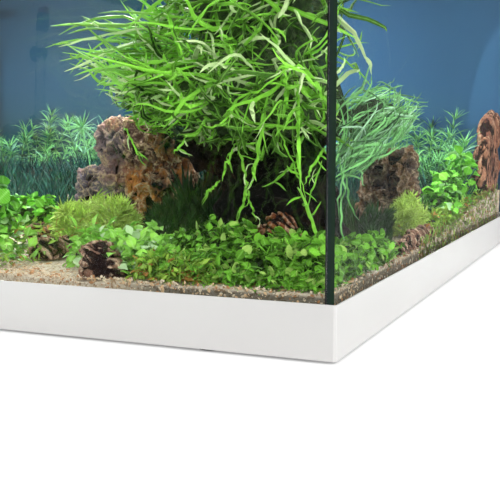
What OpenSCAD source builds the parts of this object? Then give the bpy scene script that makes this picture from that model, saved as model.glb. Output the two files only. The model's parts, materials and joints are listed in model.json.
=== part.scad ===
// Planted aquarium in a low white base frame, with a white hood.
// The origin is on the floor under the middle of the tank. X runs to the right,
// Y runs from the front to the back, and Z runs up.

/* [Tank] */
// Outside width of the glass tank
tank_w = 800; // [720:10:1200]
// Outside depth of the glass tank
tank_d = 650; // [600:10:740]
// Height of the upright panes
pane_h = 380; // [360:5:450]
// Thickness of the upright panes and the braces
glass_t = 5; // [4:0.5:8]
// Thickness of the floor pane
floor_t = 6; // [5:0.5:10]
// Thickness of the silicone in each joint
seam_t = 0.7; // [0.5:0.1:1.5]
// Ground-off corner of each upright pane
arris = 0.5; // [0.3:0.1:1]
// Width of the two long glass braces
brace_w = 40; // [30:1:60]
// Width of the glass brace that crosses the middle
cross_brace_w = 80; // [60:1:120]
// Distance from the rim down to the top of the long braces
brace_drop = 15; // [13:1:25]
// Thickness of the blue sheet on the back pane
backdrop_t = 0.5; // [0.3:0.1:0.7]

/* [Base frame] */
// Height of the base frame
base_h = 30; // [24:1:60]
// Thickness of the frame's outer wall
base_wall = 1; // [0.8:0.1:3]
// Gap between the glass and the frame's outer wall
base_fit = 0.2; // [0.1:0.1:1]
// Outer corner radius of the frame
base_corner_r = 2; // [1:0.5:4]
// Width of the ledge under the floor pane
ledge_w = 26; // [20:1:50]
// Thickness of the ledge
ledge_t = 2.5; // [2:0.5:5]
// Depth of the channel under the ledge
channel_h = 4; // [3:0.5:10]
// Width of the rail's inner rib
rib_t = 2; // [1.5:0.5:4]
// Height of the gap under the frame, where the feet show
foot_gap = 1.5; // [1:0.5:5]
// Diameter of a rubber foot
foot_d = 18; // [12:1:18]
// Length of each leg of a corner key
key_leg = 46; // [36:1:60]
// Width of a corner key's leg
key_w = 12; // [8:1:13]
// Thickness of a corner key
key_t = 3; // [2:0.5:3]

/* [Hood] */
// Height of the hood above the rim
hood_h = 44; // [40:1:80]
// How far the hood reaches down over the glass
hood_lap = 16; // [10:1:30]
// Thickness of the hood's walls
hood_wall = 2.5; // [2:0.5:4]
// Gap between the glass and the hood's outer wall
hood_fit = 0.5; // [0.3:0.1:1]
// Width of the shelf that stands on the rim
shelf_w = 16; // [12:1:20]
// Width of the hood's top edge
flange_w = 22; // [19:1:35]
// Thickness of the hood's top edge and of the flaps
flap_t = 3; // [2.5:0.5:5]
// How far the ledge under a flap reaches inwards
flap_rest = 6; // [4:1:12]
// Gap all round a flap
flap_gap = 0.8; // [0.5:0.1:2]
// Width of the rail across the middle of the hood
centre_w = 120; // [110:2:160]
// Width of the cable gap beside the rear flap
cable_gap = 32; // [15:1:60]
// Length of a flap's grip
grip_l = 120; // [60:5:200]
// Width of a flap's grip
grip_w = 12; // [8:1:20]
// Height of a flap's grip
grip_h = 7; // [5:1:12]

/* [Flap hinges] */
// Radius of a hinge barrel
barrel_r = 2.6; // [2.4:0.1:4]
// Radius of a hinge pin
pin_r = 1.5; // [1:0.1:1.7]
// Running clearance round pins and shafts
run_fit = 0.05; // [0.02:0.01:0.1]
// Length of the flap's barrel in one hinge
knuckle_l = 30; // [20:1:60]
// Length of each of the rail's barrels
ear_l = 12; // [8:1:20]
// Length of a hinge leaf
leaf_l = 14; // [10:1:20]
// Thickness of a hinge leaf
leaf_t = 1.6; // [1.2:0.1:2.4]
// Distance of the outer hinges from the middle
hinge_x = 250; // [150:5:270]

/* [Lamps] */
// Length of a lamp's aluminium profile
lamp_l = 690; // [500:10:690]
// Width of a lamp
lamp_w = 26; // [20:1:32]
// Height of a lamp's aluminium profile
lamp_h = 12; // [10:1:16]
// Thickness of a lamp's diffuser
diffuser_t = 3; // [2:0.5:5]
// Distance of each lamp from the middle of the hood
lamp_y = 28; // [22:1:32]
// Thickness of a lamp's end cap
cap_t = 6; // [4:1:10]
// Radius of the pivot on a lamp's end cap
pivot_r = 3; // [2:0.5:4]
// Thickness of the clip that holds a lamp
clip_t = 4; // [3:0.5:8]
// Width of the clip that holds a lamp
clip_w = 18; // [12:1:20]

/* [Filter] */
// Width of the filter
filter_w = 68; // [60:2:90]
// Depth of the filter
filter_d = 66; // [50:2:80]
// Height of the filter's casing
filter_h = 175; // [120:5:190]
// Height of the pump head
pump_h = 42; // [30:1:60]
// Wall of the filter's casing
filter_wall = 2.5; // [2:0.5:4]
// Distance from the filter to the left pane
filter_side = 8; // [5:1:30]
// Width of an inlet slot in the casing
slot_w = 3; // [2:0.5:3.5]
// Inner radius of the outlet nozzle
nozzle_r = 5; // [3:0.5:6]
// Length of the outlet spout
spout_l = 38; // [20:1:60]

/* [Heater] */
// Radius of the heater's glass tube
heater_r = 11; // [9:0.5:13]
// Length of the heater's glass tube
heater_l = 210; // [150:5:220]
// Height of the heater's head
head_h = 28; // [20:1:40]
// Radius of the heater's dial
dial_r = 10; // [8:0.5:12]
// Height of the heater's dial
dial_h = 9; // [6:1:14]
// Distance of the heater from the front pane's inner face
heater_y = 335; // [300:5:345]

/* [Suction cups] */
// Radius of a suction cup
cup_r = 14; // [10:1:18]
// Distance that a cup holds its load off the glass
cup_depth = 10; // [8:1:14]

/* [Landscape] */
// Height of the sand at the front, above the floor pane
sand_front = 21; // [19:1:40]
// Height of the sand at the back, above the floor pane
sand_back = 46; // [40:1:80]
// Distance from the front pane to where the sand starts to rise
sand_flat = 190; // [100:5:250]
// Height of the root stump above the sand
stump_h = 140; // [110:5:170]
// Width of the root stump
stump_w = 112; // [96:2:122]
// Height of the fern's crown above the sand
fern_h = 225; // [190:5:260]
// Height of the tall rock on the left of the stump
tall_rock_h = 102; // [70:2:115]
// Width of the tall rock
tall_rock_w = 90; // [76:1:94]
// Height of the rock on the right, behind the stump
side_rock_h = 72; // [50:2:90]
// Width of the rock on the right
side_rock_w = 58; // [44:1:62]
// Height of the rock on the left, out among the left plants
left_rock_h = 112; // [80:2:130]
// Width of the rock on the left
left_rock_w = 118; // [90:2:130]
// Height of the rock in the back corner on the right
back_rock_h = 84; // [64:2:120]
// Width of the small layered rock at the front
small_rock_w = 30; // [20:1:34]
// Height of the round-leaf plants in the front corner
carpet_h = 30; // [18:1:40]
// Height of the fine-leaf bushes
bush_h = 36; // [24:1:46]
// Height of the feathery stems at the back
stems_h = 118; // [90:2:160]
// Height of the broad-leaf plants
broad_h = 58; // [40:2:80]

/* [Hidden] */

$fn = 48;
OVER = 1; // how far a cutting shape passes its face

// Heights
base_top = foot_gap + base_h;
ledge_z = foot_gap + channel_h;
floor_z = ledge_z + ledge_t;
glass_z = floor_z + floor_t;
pane_z = glass_z + seam_t;
rim_z = pane_z + pane_h;
hood_z = rim_z + hood_h;
flap_z = hood_z - flap_t;
brace_z = rim_z - brace_drop - glass_t;

// Inner faces of the panes
in_r = tank_w / 2 - glass_t;
in_l = -in_r;
in_f = -tank_d / 2 + glass_t;
in_b = -in_f;

// Outer size of the frame and of the hood
base_out = base_wall + base_fit;
hood_out = hood_wall + hood_fit;
base_w = tank_w + 2 * base_out;
base_d = tank_d + 2 * base_out;
hood_w = tank_w + 2 * hood_out;
hood_d = tank_d + 2 * hood_out;

// Glass -------------------------------------------------------------------

// An upright pane along X: its two ends are ground off at the corners
module pane_outline(length, thick) {
  polygon([[-length / 2 + arris, 0], [length / 2 - arris, 0], [length / 2, arris],
    [length / 2, thick - arris], [length / 2 - arris, thick], [-length / 2 + arris, thick],
    [-length / 2, thick - arris], [-length / 2, arris]]);
}

module upright_pane(length) {
  linear_extrude(pane_h) pane_outline(length, glass_t);
}

module floor_pane() {
  color([0.75, 0.86, 0.82])
    translate([-tank_w / 2, -tank_d / 2, floor_z]) cube([tank_w, tank_d, floor_t]);
}

cross_pane_w = 2 * in_r - 2 * seam_t; // the front and rear panes fit between the side panes

module front_pane() {
  color([0.78, 0.88, 0.86]) translate([0, -tank_d / 2, pane_z]) upright_pane(cross_pane_w);
}

module rear_pane() {
  color([0.78, 0.88, 0.86]) translate([0, in_b, pane_z]) upright_pane(cross_pane_w);
}

module right_pane() {
  color([0.78, 0.88, 0.86])
    translate([tank_w / 2, 0, pane_z]) rotate(90) upright_pane(tank_d);
}

module left_pane() {
  color([0.78, 0.88, 0.86])
    translate([in_l, 0, pane_z]) rotate(90) upright_pane(tank_d);
}

// Silicone between the ends of the front and rear panes and the side panes
module upright_seams() {
  color([0.05, 0.06, 0.06])
    for (sx = [-1, 1], y = [-tank_d / 2, in_b])
      translate([sx > 0 ? in_r - seam_t : in_l, y + arris, pane_z])
        cube([seam_t, glass_t - 2 * arris, pane_h]);
}

// Silicone between the upright panes and the floor pane
module floor_seams() {
  color([0.05, 0.06, 0.06]) {
    for (y = [-tank_d / 2, in_b])
      translate([-in_r + seam_t, y, glass_z]) cube([cross_pane_w, glass_t, seam_t]);
    for (x = [-tank_w / 2, in_r])
      translate([x, -tank_d / 2, glass_z]) cube([glass_t, tank_d, seam_t]);
  }
}

module long_brace() {
  translate([in_l + seam_t, 0, brace_z]) cube([2 * in_r - 2 * seam_t, brace_w, glass_t]);
}

module front_brace() {
  color([0.72, 0.85, 0.8]) translate([0, in_f, 0]) long_brace();
}

module rear_brace() {
  color([0.72, 0.85, 0.8]) translate([0, in_b - brace_w, 0]) long_brace();
}

// The cross brace lies on the two long ones
brace_lap = brace_w - 8; // how far it reaches over each of them
module cross_brace() {
  length = 2 * (in_b - brace_w + brace_lap);
  color([0.72, 0.85, 0.8])
    translate([-cross_brace_w / 2, -length / 2, brace_z + glass_t])
      cube([cross_brace_w, length, glass_t]);
}

module backdrop_sheet() {
  z0 = base_top + 1;
  color([0.3, 0.4, 0.55])
    translate([-in_r, tank_d / 2, z0])
      cube([2 * in_r, backdrop_t, rim_z - hood_lap - 1 - z0]);
}

// Base frame --------------------------------------------------------------

// Outline with exact round corners
module rounded_outline(w, d, r) {
  square([w - 2 * r, d], center = true);
  square([w, d - 2 * r], center = true);
  for (sx = [-1, 1], sy = [-1, 1])
    translate([sx * (w / 2 - r), sy * (d / 2 - r)]) circle(r);
}

// A ring's front quarter: a trapezium with mitred ends, for a rail of a width
module mitre(w, d, rail_w, z0, z1) {
  translate([0, 0, z0])
    linear_extrude(z1 - z0)
      polygon([[-w / 2, -d / 2], [w / 2, -d / 2], [w / 2 - rail_w, -d / 2 + rail_w],
        [-w / 2 + rail_w, -d / 2 + rail_w]]);
}

// Extrudes a section along X. The section's first axis runs inwards from the outer face,
// and its second runs up.
module along_front(w, d) {
  translate([-w / 2, -d / 2, 0])
    rotate([90, 0, 90]) linear_extrude(w) children();
}

module base_section() {
  translate([0, foot_gap]) square([base_wall, base_h]);
  translate([0, ledge_z]) square([ledge_w, ledge_t]);
  translate([ledge_w - rib_t, foot_gap]) square([rib_t, channel_h + ledge_t]);
}

module base_rail(w, d) {
  intersection() {
    along_front(w, d) base_section();
    mitre(w, d, ledge_w, 0, base_top);
    translate([0, 0, -OVER])
      linear_extrude(base_top + 2 * OVER) rounded_outline(w, d, base_corner_r);
  }
}

module base_rail_front() {
  color([0.93, 0.93, 0.92]) base_rail(base_w, base_d);
}

module base_rail_rear() {
  color([0.93, 0.93, 0.92]) rotate(180) base_rail(base_w, base_d);
}

module base_rail_right() {
  color([0.93, 0.93, 0.92]) rotate(90) base_rail(base_d, base_w);
}

module base_rail_left() {
  color([0.93, 0.93, 0.92]) rotate(-90) base_rail(base_d, base_w);
}

// An L-shaped key that ties two rails at each corner of a ring
module corner_key(w, d, inset, leg, leg_w, thick) {
  for (sx = [0, 1], sy = [0, 1])
    mirror([sx, 0, 0]) mirror([0, sy, 0])
      translate([-w / 2 + inset, -d / 2 + inset, 0]) {
        cube([leg, leg_w, thick]);
        cube([leg_w, leg, thick]);
      }
}

key_inset = (base_wall + ledge_w - rib_t - key_w) / 2; // middle of the channel
module base_corner_keys() {
  color([0.55, 0.55, 0.56])
    translate([0, 0, ledge_z - key_t])
      corner_key(base_w, base_d, base_wall + key_inset, key_leg, key_w, key_t);
}

// Rubber feet in the channel, three under each long rail and two under each short one
foot_in = (base_wall + ledge_w - rib_t) / 2;
foot_end = key_leg + foot_in + foot_d; // clear of the corner keys
module base_feet() {
  color([0.16, 0.16, 0.17]) {
    for (x = [-base_w / 2 + foot_end, 0, base_w / 2 - foot_end], sy = [-1, 1])
      translate([x, sy * (base_d / 2 - foot_in), 0]) cylinder(h = ledge_z, d = foot_d);
    for (sx = [-1, 1], sy = [-1, 1])
      translate([sx * (base_w / 2 - foot_in), sy * (base_d / 2 - foot_end), 0])
        cylinder(h = ledge_z, d = foot_d);
  }
}

// Hood --------------------------------------------------------------------

module hood_section() {
  translate([0, rim_z - hood_lap]) square([hood_wall, hood_h + hood_lap]);
  translate([0, rim_z]) square([shelf_w, hood_wall]);
  translate([0, flap_z]) square([flange_w, flap_t]);
  // The ledge under the flap hangs from the edge and stays 0.3 below the flap
  translate([flange_w - flap_t, flap_z - flap_t]) square([flap_t, flap_t]);
  translate([flange_w - flap_t, flap_z - flap_t]) square([flap_t + flap_rest, flap_t - 0.3]);
}

hood_rail_w = flange_w + flap_rest;
module hood_rail(w, d) {
  intersection() {
    along_front(w, d) hood_section();
    mitre(w, d, hood_rail_w, 0, hood_z);
    translate([0, 0, -OVER])
      linear_extrude(hood_z + 2 * OVER) rounded_outline(w, d, base_corner_r);
  }
}

// The side rails are cut away above the shelf, where the centre rail drops in
centre_fit = 0.2; // gap round the ends of the centre rail
module side_hood_rail() {
  difference() {
    rotate(90) hood_rail(hood_d, hood_w);
    translate([hood_w / 2 - hood_wall - hood_rail_w, -centre_w / 2 - centre_fit,
        rim_z + hood_wall])
      cube([hood_rail_w, centre_w + 2 * centre_fit, hood_h]);
  }
}

module hood_rail_front() {
  color([0.94, 0.94, 0.93]) hood_rail(hood_w, hood_d);
}

module hood_rail_rear() {
  color([0.94, 0.94, 0.93]) rotate(180) hood_rail(hood_w, hood_d);
}

module hood_rail_right() {
  color([0.94, 0.94, 0.93]) side_hood_rail();
}

module hood_rail_left() {
  color([0.94, 0.94, 0.93]) mirror([1, 0, 0]) side_hood_rail();
}

module hood_corner_keys() {
  color([0.55, 0.55, 0.56])
    translate([0, 0, flap_z - key_t])
      corner_key(hood_w, hood_d, hood_wall + 1, key_leg, key_w, key_t);
}

// Hinges lie on top of the hood, along the front and rear edges of the centre rail
hinge_y = centre_w / 2 + flap_gap / 2;
hinge_z = hood_z + 0.3 + barrel_r;
HINGES = [-hinge_x, 0, hinge_x];
knuckle_gap = 0.3; // gap between the barrels, along the pin

module barrel(length, bore_r) {
  rotate([0, 90, 0])
    difference() {
      cylinder(h = length, r = barrel_r, center = true);
      cylinder(h = length + 2 * OVER, r = bore_r, center = true);
    }
}

// A leaf that reaches from the pin's axis towards +Y, with its barrel
module leaf(length, bore_r) {
  translate([0, 0, hinge_z - hood_z]) barrel(length, bore_r);
  difference() {
    translate([-length / 2, 0, 0]) cube([length, leaf_l, leaf_t]);
    translate([0, 0, hinge_z - hood_z]) rotate([0, 90, 0])
      cylinder(h = length + 2 * OVER, r = bore_r + 0.4, center = true);
  }
}

ear_x = knuckle_l / 2 + knuckle_gap + ear_l / 2;
module centre_rail() {
  length = hood_w - 2 * hood_wall - 2 * centre_fit;
  color([0.94, 0.94, 0.93]) {
    difference() {
      translate([-length / 2, -centre_w / 2, rim_z + hood_wall])
        cube([length, centre_w, hood_h - hood_wall]);
      translate([-length / 2 - OVER, -centre_w / 2 + hood_wall, rim_z + hood_wall - OVER])
        cube([length + 2 * OVER, centre_w - 2 * hood_wall, hood_h - hood_wall - flap_t + OVER]);
    }
    for (x = HINGES, s = [-1, 1], side = [0, 1])
      mirror([0, side, 0])
        translate([x + s * ear_x, -hinge_y, hood_z]) leaf(ear_l, pin_r);
  }
}

module hinge_pins() {
  color([0.75, 0.76, 0.78])
    for (x = HINGES, sy = [-1, 1])
      translate([x, sy * hinge_y, hinge_z]) rotate([0, 90, 0])
        cylinder(h = knuckle_l + 2 * ear_l + 2 * knuckle_gap, r = pin_r, center = true);
}

flap_d = hood_d / 2 - flange_w - flap_gap - (centre_w / 2 + flap_gap);
flap_w = hood_w - 2 * flange_w - 2 * flap_gap;

// A flap from its hinge line towards -Y, cut short at its left end by a cable gap
module flap(left_cut) {
  translate([-flap_w / 2 + left_cut, -centre_w / 2 - flap_gap - flap_d, flap_z])
    cube([flap_w - left_cut, flap_d, flap_t]);
  for (x = HINGES)
    translate([x, -hinge_y, hood_z]) mirror([0, 1, 0]) leaf(knuckle_l, pin_r + run_fit);
}

module front_flap() {
  color([0.95, 0.95, 0.94]) flap(0);
}

module rear_flap() {
  color([0.95, 0.95, 0.94]) mirror([0, 1, 0]) flap(cable_gap);
}

grip_y = -centre_w / 2 - flap_gap - flap_d + 1.5 * grip_w;
module grip() {
  translate([-grip_l / 2, grip_y, hood_z])
    rotate([90, 0, 90])
      linear_extrude(grip_l)
        polygon([[-grip_w / 2, 0], [grip_w / 2, 0], [grip_w / 4, grip_h], [-grip_w / 2, grip_h]]);
}

module front_flap_grip() {
  color([0.7, 0.71, 0.72]) grip();
}

module rear_flap_grip() {
  color([0.7, 0.71, 0.72]) mirror([0, 1, 0]) grip();
}

// Lamps -------------------------------------------------------------------

lamp_z = flap_z - 4 - lamp_w / 2; // height of the pivots
clip_gap = 1.5; // gap between a lamp's end cap and its clip
pivot_l = clip_gap + clip_t + 2;
clip_x = lamp_l / 2 + cap_t + clip_gap + clip_t / 2;

module lamp_profile() {
  translate([-lamp_l / 2, 0, lamp_z])
    rotate([90, 0, 90])
      linear_extrude(lamp_l)
        polygon([[-lamp_w / 2, -lamp_h / 3], [lamp_w / 2, -lamp_h / 3], [lamp_w / 2, lamp_h / 4],
          [lamp_w / 4, 2 * lamp_h / 3], [-lamp_w / 4, 2 * lamp_h / 3], [-lamp_w / 2, lamp_h / 4]]);
}

module lamp_diffuser() {
  translate([-lamp_l / 2, -lamp_w / 2 + 1, lamp_z - lamp_h / 3 - diffuser_t])
    cube([lamp_l, lamp_w - 2, diffuser_t]);
}

module lamp_caps() {
  for (s = [0, 1])
    mirror([s, 0, 0])
      translate([lamp_l / 2, 0, lamp_z]) {
        translate([0, -lamp_w / 2, -lamp_h / 3 - diffuser_t])
          cube([cap_t, lamp_w, lamp_h + diffuser_t]);
        rotate([0, 90, 0]) cylinder(h = cap_t + pivot_l, r = pivot_r);
      }
}

module at_lamp(side) {
  translate([0, side * lamp_y, 0]) children();
}

module front_lamp_profile() {
  color([0.78, 0.79, 0.8]) at_lamp(-1) lamp_profile();
}

module front_lamp_diffuser() {
  color([0.97, 0.97, 0.95]) at_lamp(-1) lamp_diffuser();
}

module front_lamp_caps() {
  color([0.3, 0.31, 0.32]) at_lamp(-1) lamp_caps();
}

module rear_lamp_profile() {
  color([0.78, 0.79, 0.8]) at_lamp(1) lamp_profile();
}

module rear_lamp_diffuser() {
  color([0.97, 0.97, 0.95]) at_lamp(1) lamp_diffuser();
}

module rear_lamp_caps() {
  color([0.3, 0.31, 0.32]) at_lamp(1) lamp_caps();
}

// Clips that hang from the centre rail, with a bore for the lamp's pivot
module lamp_clips() {
  drop = flap_z - lamp_z;
  color([0.85, 0.85, 0.85])
    for (sx = [-1, 1], sy = [-1, 1])
      translate([sx * clip_x, sy * lamp_y, lamp_z]) rotate([90, 0, 90])
        translate([0, 0, -clip_t / 2])
          difference() {
            union() {
              cylinder(h = clip_t, d = clip_w);
              translate([-clip_w / 2, 0, 0]) cube([clip_w, drop, clip_t]);
            }
            translate([0, 0, -OVER]) cylinder(h = clip_t + 2 * OVER, r = pivot_r + run_fit);
          }
}

// Filter ------------------------------------------------------------------

filter_x = in_l + filter_side;
filter_y = in_b - cup_depth - filter_d;
filter_z = glass_z + sand_back + 28;
pump_z = filter_z + filter_h;
spigot_r = nozzle_r + 2;
spigot_h = 16;
sleeve_r = spigot_r + run_fit + 2.5;
nozzle_x = filter_x + filter_w - sleeve_r - 4;
nozzle_y = filter_y + filter_d / 2;

module filter_casing() {
  slots = floor((filter_w - 4 * filter_wall) / (2.5 * slot_w));
  pitch = (filter_w - 4 * filter_wall) / slots;
  color([0.18, 0.19, 0.2])
    difference() {
      translate([filter_x, filter_y, filter_z]) cube([filter_w, filter_d, filter_h]);
      translate([filter_x + filter_wall, filter_y + filter_wall, filter_z + filter_wall])
        cube([filter_w - 2 * filter_wall, filter_d - 2 * filter_wall, filter_h]);
      for (i = [0:slots - 1])
        translate([filter_x + 2 * filter_wall + (i + 0.5) * pitch - slot_w / 2,
            filter_y - OVER, filter_z + 12])
          cube([slot_w, filter_wall + 2 * OVER, filter_h - 40]);
    }
}

sponge_fit = 0.5; // gap between the sponge and the casing
module filter_sponge() {
  inset = filter_wall + sponge_fit;
  color([0.15, 0.35, 0.6])
    translate([filter_x + inset, filter_y + inset, filter_z + filter_wall])
      cube([filter_w - 2 * inset, filter_d - 2 * inset, filter_h - 20]);
}

module pump_head() {
  color([0.22, 0.23, 0.24]) {
    translate([filter_x, filter_y, pump_z]) cube([filter_w, filter_d, pump_h]);
    translate([nozzle_x, nozzle_y, pump_z + pump_h]) cylinder(h = spigot_h, r = spigot_r);
  }
}

// The sleeve turns on the pump's spigot, and the spout leaves it sideways
module outlet_nozzle() {
  sleeve_z = pump_z + pump_h + 0.4;
  sleeve_h = spigot_h + 1;
  color([0.2, 0.21, 0.22])
    difference() {
      union() {
        translate([nozzle_x, nozzle_y, sleeve_z]) cylinder(h = sleeve_h + 3, r = sleeve_r);
        translate([nozzle_x, nozzle_y, sleeve_z + sleeve_h / 2]) rotate([0, 90, 0])
          cylinder(h = sleeve_r + spout_l, r = nozzle_r + 1.5);
      }
      translate([nozzle_x, nozzle_y, sleeve_z - OVER])
        cylinder(h = sleeve_h + OVER, r = spigot_r + run_fit);
      translate([nozzle_x + spigot_r + 0.5, nozzle_y, sleeve_z + sleeve_h / 2])
        rotate([0, 90, 0]) cylinder(h = sleeve_r + spout_l, r = nozzle_r);
    }
}

// A cup with its foot on the plane z = 0 and its stem up to cup_depth
module suction_cup() {
  rotate_extrude()
    polygon([[0, 0], [cup_r, 0], [cup_r, 1], [cup_r * 0.45, 4], [4, 5], [4, cup_depth],
      [0, cup_depth]]);
}

module filter_cups() {
  color([0.35, 0.42, 0.42])
    for (x = [filter_x + cup_r + 3, filter_x + filter_w - cup_r - 3],
        z = [filter_z + cup_r + 8, pump_z - cup_r - 8])
      translate([x, in_b, z]) rotate([90, 0, 0]) suction_cup();
}

// Heater ------------------------------------------------------------------

heater_x = in_l + cup_depth + 3 + heater_r;
heater_pos_y = in_f + heater_y;
heater_z = glass_z + sand_back + 26;
heater_top = heater_z + heater_l;
head_r = heater_r + 2;

module heater_tube() {
  color([0.8, 0.85, 0.85])
    translate([heater_x, heater_pos_y, heater_z]) {
      translate([0, 0, heater_r]) cylinder(h = heater_l - heater_r, r = heater_r);
      translate([0, 0, heater_r]) sphere(r = heater_r);
    }
}

dial_pin_r = 3;
dial_pin_l = 8;
module heater_head() {
  color([0.12, 0.12, 0.13])
    difference() {
      translate([heater_x, heater_pos_y, heater_top]) cylinder(h = head_h, r = head_r);
      translate([heater_x, heater_pos_y, heater_top + head_h - dial_pin_l - 0.5])
        cylinder(h = dial_pin_l + 0.5 + OVER, r = dial_pin_r + run_fit);
    }
}

module heater_dial() {
  top = heater_top + head_h;
  color([0.8, 0.15, 0.12]) {
    translate([heater_x, heater_pos_y, top + 0.3]) cylinder(h = dial_h, r = dial_r);
    translate([heater_x, heater_pos_y, top - dial_pin_l])
      cylinder(h = dial_pin_l + 1, r = dial_pin_r);
    // Pointer on the rim of the dial
    translate([heater_x + dial_r - 3, heater_pos_y - 1, top + 0.3]) cube([4, 2, dial_h + 1]);
  }
}

// Rings round the tube, on suction cups on the left pane
module heater_clips() {
  color([0.14, 0.14, 0.15])
    for (z = [heater_z + heater_l * 0.25, heater_z + heater_l * 0.8])
      translate([heater_x, heater_pos_y, z]) {
        difference() {
          union() {
            cylinder(h = 12, r = heater_r + 2);
            translate([-heater_r - 3, -6, 0]) cube([heater_r, 12, 12]);
          }
          translate([0, 0, -OVER]) cylinder(h = 12 + 2 * OVER, r = heater_r);
        }
        translate([in_l - heater_x, 0, 6]) rotate([0, 90, 0]) suction_cup();
      }
}

// Landscape ---------------------------------------------------------------

// Height of the sand above the floor pane, at a distance from the front pane
function rise(t) = t * t * (3 - 2 * t);
function sand_h(from_front) =
  sand_front + (sand_back - sand_front)
    * rise(max(0, (from_front - sand_flat) / (2 * in_b - sand_flat)));
function sand_z(from_front) = glass_z + sand_h(from_front);

SAND_STEPS = 12;
module sand_bed() {
  run = 2 * in_b;
  color([0.72, 0.63, 0.5])
    translate([in_l, in_f, glass_z])
      rotate([90, 0, 90])
        linear_extrude(2 * in_r)
          polygon(concat([[run, 0], [0, 0], [0, sand_front]],
            [for (i = [0:SAND_STEPS]) let (y = sand_flat + (run - sand_flat) * i / SAND_STEPS)
              [y, sand_h(y)]]));
}

// Everything that stands in the tank is cut by the sand, and stays clear of the glass
glass_gap = 1.5;
module planted() {
  intersection() {
    difference() {
      children();
      sand_bed();
    }
    translate([in_l + glass_gap, in_f + glass_gap, glass_z + 1])
      cube([2 * (in_r - glass_gap), 2 * (in_b - glass_gap), brace_z - glass_z - 4]);
  }
}

// A rough lump: the hull of points spread evenly over an ellipsoid, pushed in or out
GOLDEN = 180 * (3 - sqrt(5));
module lump(size, seed, rough = 0.16, count = 22) {
  push = rands(1 - rough, 1 + rough, count, seed);
  points = [for (i = [0:count - 1])
    let (z = 1 - 2 * (i + 0.5) / count, r = sqrt(1 - z * z), a = i * GOLDEN)
      [size[0] / 2 * r * cos(a) * push[i], size[1] / 2 * r * sin(a) * push[i],
        size[2] / 2 * z * push[i]]];
  hull() polyhedron(points, [[for (i = [0:count - 1]) i]]);
}

// Several lumps, each given as [x, y, z, width, depth, height]. The first three are the
// place of its middle from the right pane, from the front pane and above the sand there.
module lumps(rows, seed, rough = 0.16, count = 22) {
  for (i = [0:len(rows) - 1])
    let (r = rows[i])
      translate([in_r - r[0], in_f + r[1], sand_z(r[1]) + r[2]])
        lump([r[3], r[4], r[5]], seed + i, rough, count);
}

// The same, placed from the left pane
module lumps_left(rows, seed, rough = 0.16, count = 22) {
  mirror([1, 0, 0]) lumps(rows, seed, rough, count);
}

// Stump ----------------------------------------------------------------
STUMP = [86, 140]; // its middle, from the right pane and from the front pane
ROOTS = 7;
module stump_shape() {
  for (i = [0:4])
    lumps([[STUMP[0], STUMP[1], stump_h * (0.06 + 0.19 * i), stump_w * (0.9 - 0.04 * i),
      stump_w * (0.88 - 0.04 * i), stump_h * 0.38]], 11 + i, 0.1, 26);
  for (i = [0:ROOTS - 1]) {
    a = 360 * i / ROOTS + 20;
    reach = stump_w * 0.38;
    lumps([[STUMP[0] - reach * cos(a), STUMP[1] + reach * sin(a), 2,
      stump_w * 0.28, stump_w * 0.28, stump_h * 0.4]], 31 + i, 0.12, 16);
  }
  // A knot on its left side, over the dark tuft
  lumps([[STUMP[0] + stump_w * 0.42 + 11, STUMP[1] + 20, stump_h * 0.56, 56, 50, stump_h * 0.37]], 41, 0.1);
}

module root_stump() {
  color([0.16, 0.12, 0.1]) planted() stump_shape();
}

// Fern -----------------------------------------------------------------
// A crown on top of the stump, with lobes of hanging blades all round it
FERN_LOBES = 10;
module fern_clump() {
  color([0.3, 0.6, 0.1])
    difference() {
      planted() {
        lumps([[STUMP[0], STUMP[1], (stump_h * 0.8 + fern_h) / 2, 150, 150,
          fern_h - stump_h * 0.8]], 51, 0.08, 30);
        for (i = [0:FERN_LOBES - 1]) {
          a = 360 * i / FERN_LOBES + 10;
          reach = stump_w * 0.58;
          high = 84 + 10 * sin(a);
          lumps([[STUMP[0] - reach * cos(a), STUMP[1] + reach * sin(a),
            stump_h * 0.78 + 6 * sin(a), 60, 60, high]], 61 + i, 0.1, 18);
        }
        // Long blades that lean to the left, and to the back along the right pane
        for (i = [0:2])
          lumps([[138 + 26 * i, 152 + 6 * i, stump_h * 0.84 + 4 * i, 66, 70, 62 - 10 * i],
            [26, 206 + 32 * i, stump_h * 0.74 + 4 * i, 46, 60, 70 - 10 * i]],
            81 + 2 * i, 0.08, 20);
      }
      stump_shape();
    }
}

// Rocks ------------------------------------------------------------------
// Middles of the three crags, each from its side pane and from the front pane
TALL_ROCK = [226, 212];
SIDE_ROCK = [52, 324];
LEFT_ROCK = [120, 252];

// A block of rock built from a row of lumps at each of three levels
module crag(at, w, h, seed) {
  for (level = [0:2], side = [-1, 0, 1])
    lumps([[at[0] + side * w * (0.3 - 0.03 * level), at[1] + 3 * side,
      h * (0.14 + 0.3 * level), w * (0.5 - 0.03 * level), w * (0.77 - 0.05 * level), h * 0.52]],
      seed + 3 * level + side, 0.13);
}

module tall_rock() {
  h = tall_rock_h;
  color([0.45, 0.31, 0.2])
    planted() {
      crag(TALL_ROCK, tall_rock_w, h, 101);
      // A square shoulder on the left of its top
      lumps([[TALL_ROCK[0] + tall_rock_w * 0.34, TALL_ROCK[1], h * 0.76, 40, 48, h * 0.54],
        [TALL_ROCK[0] + tall_rock_w * 0.34, TALL_ROCK[1], h * 0.42, 40, 48, h * 0.6]], 115, 0.1);
      // A lower lobe on the left
      lumps([[TALL_ROCK[0] + tall_rock_w * 0.61, TALL_ROCK[1] + 1, h * 0.18, 34, 46, h * 0.56],
        [TALL_ROCK[0] + tall_rock_w * 0.58, TALL_ROCK[1] - 5, h * 0.42, 30, 40, h * 0.42]],
        117, 0.13);
    }
}

module side_rock() {
  color([0.4, 0.27, 0.19])
    planted() crag(SIDE_ROCK, side_rock_w, side_rock_h, 121);
}

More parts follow.
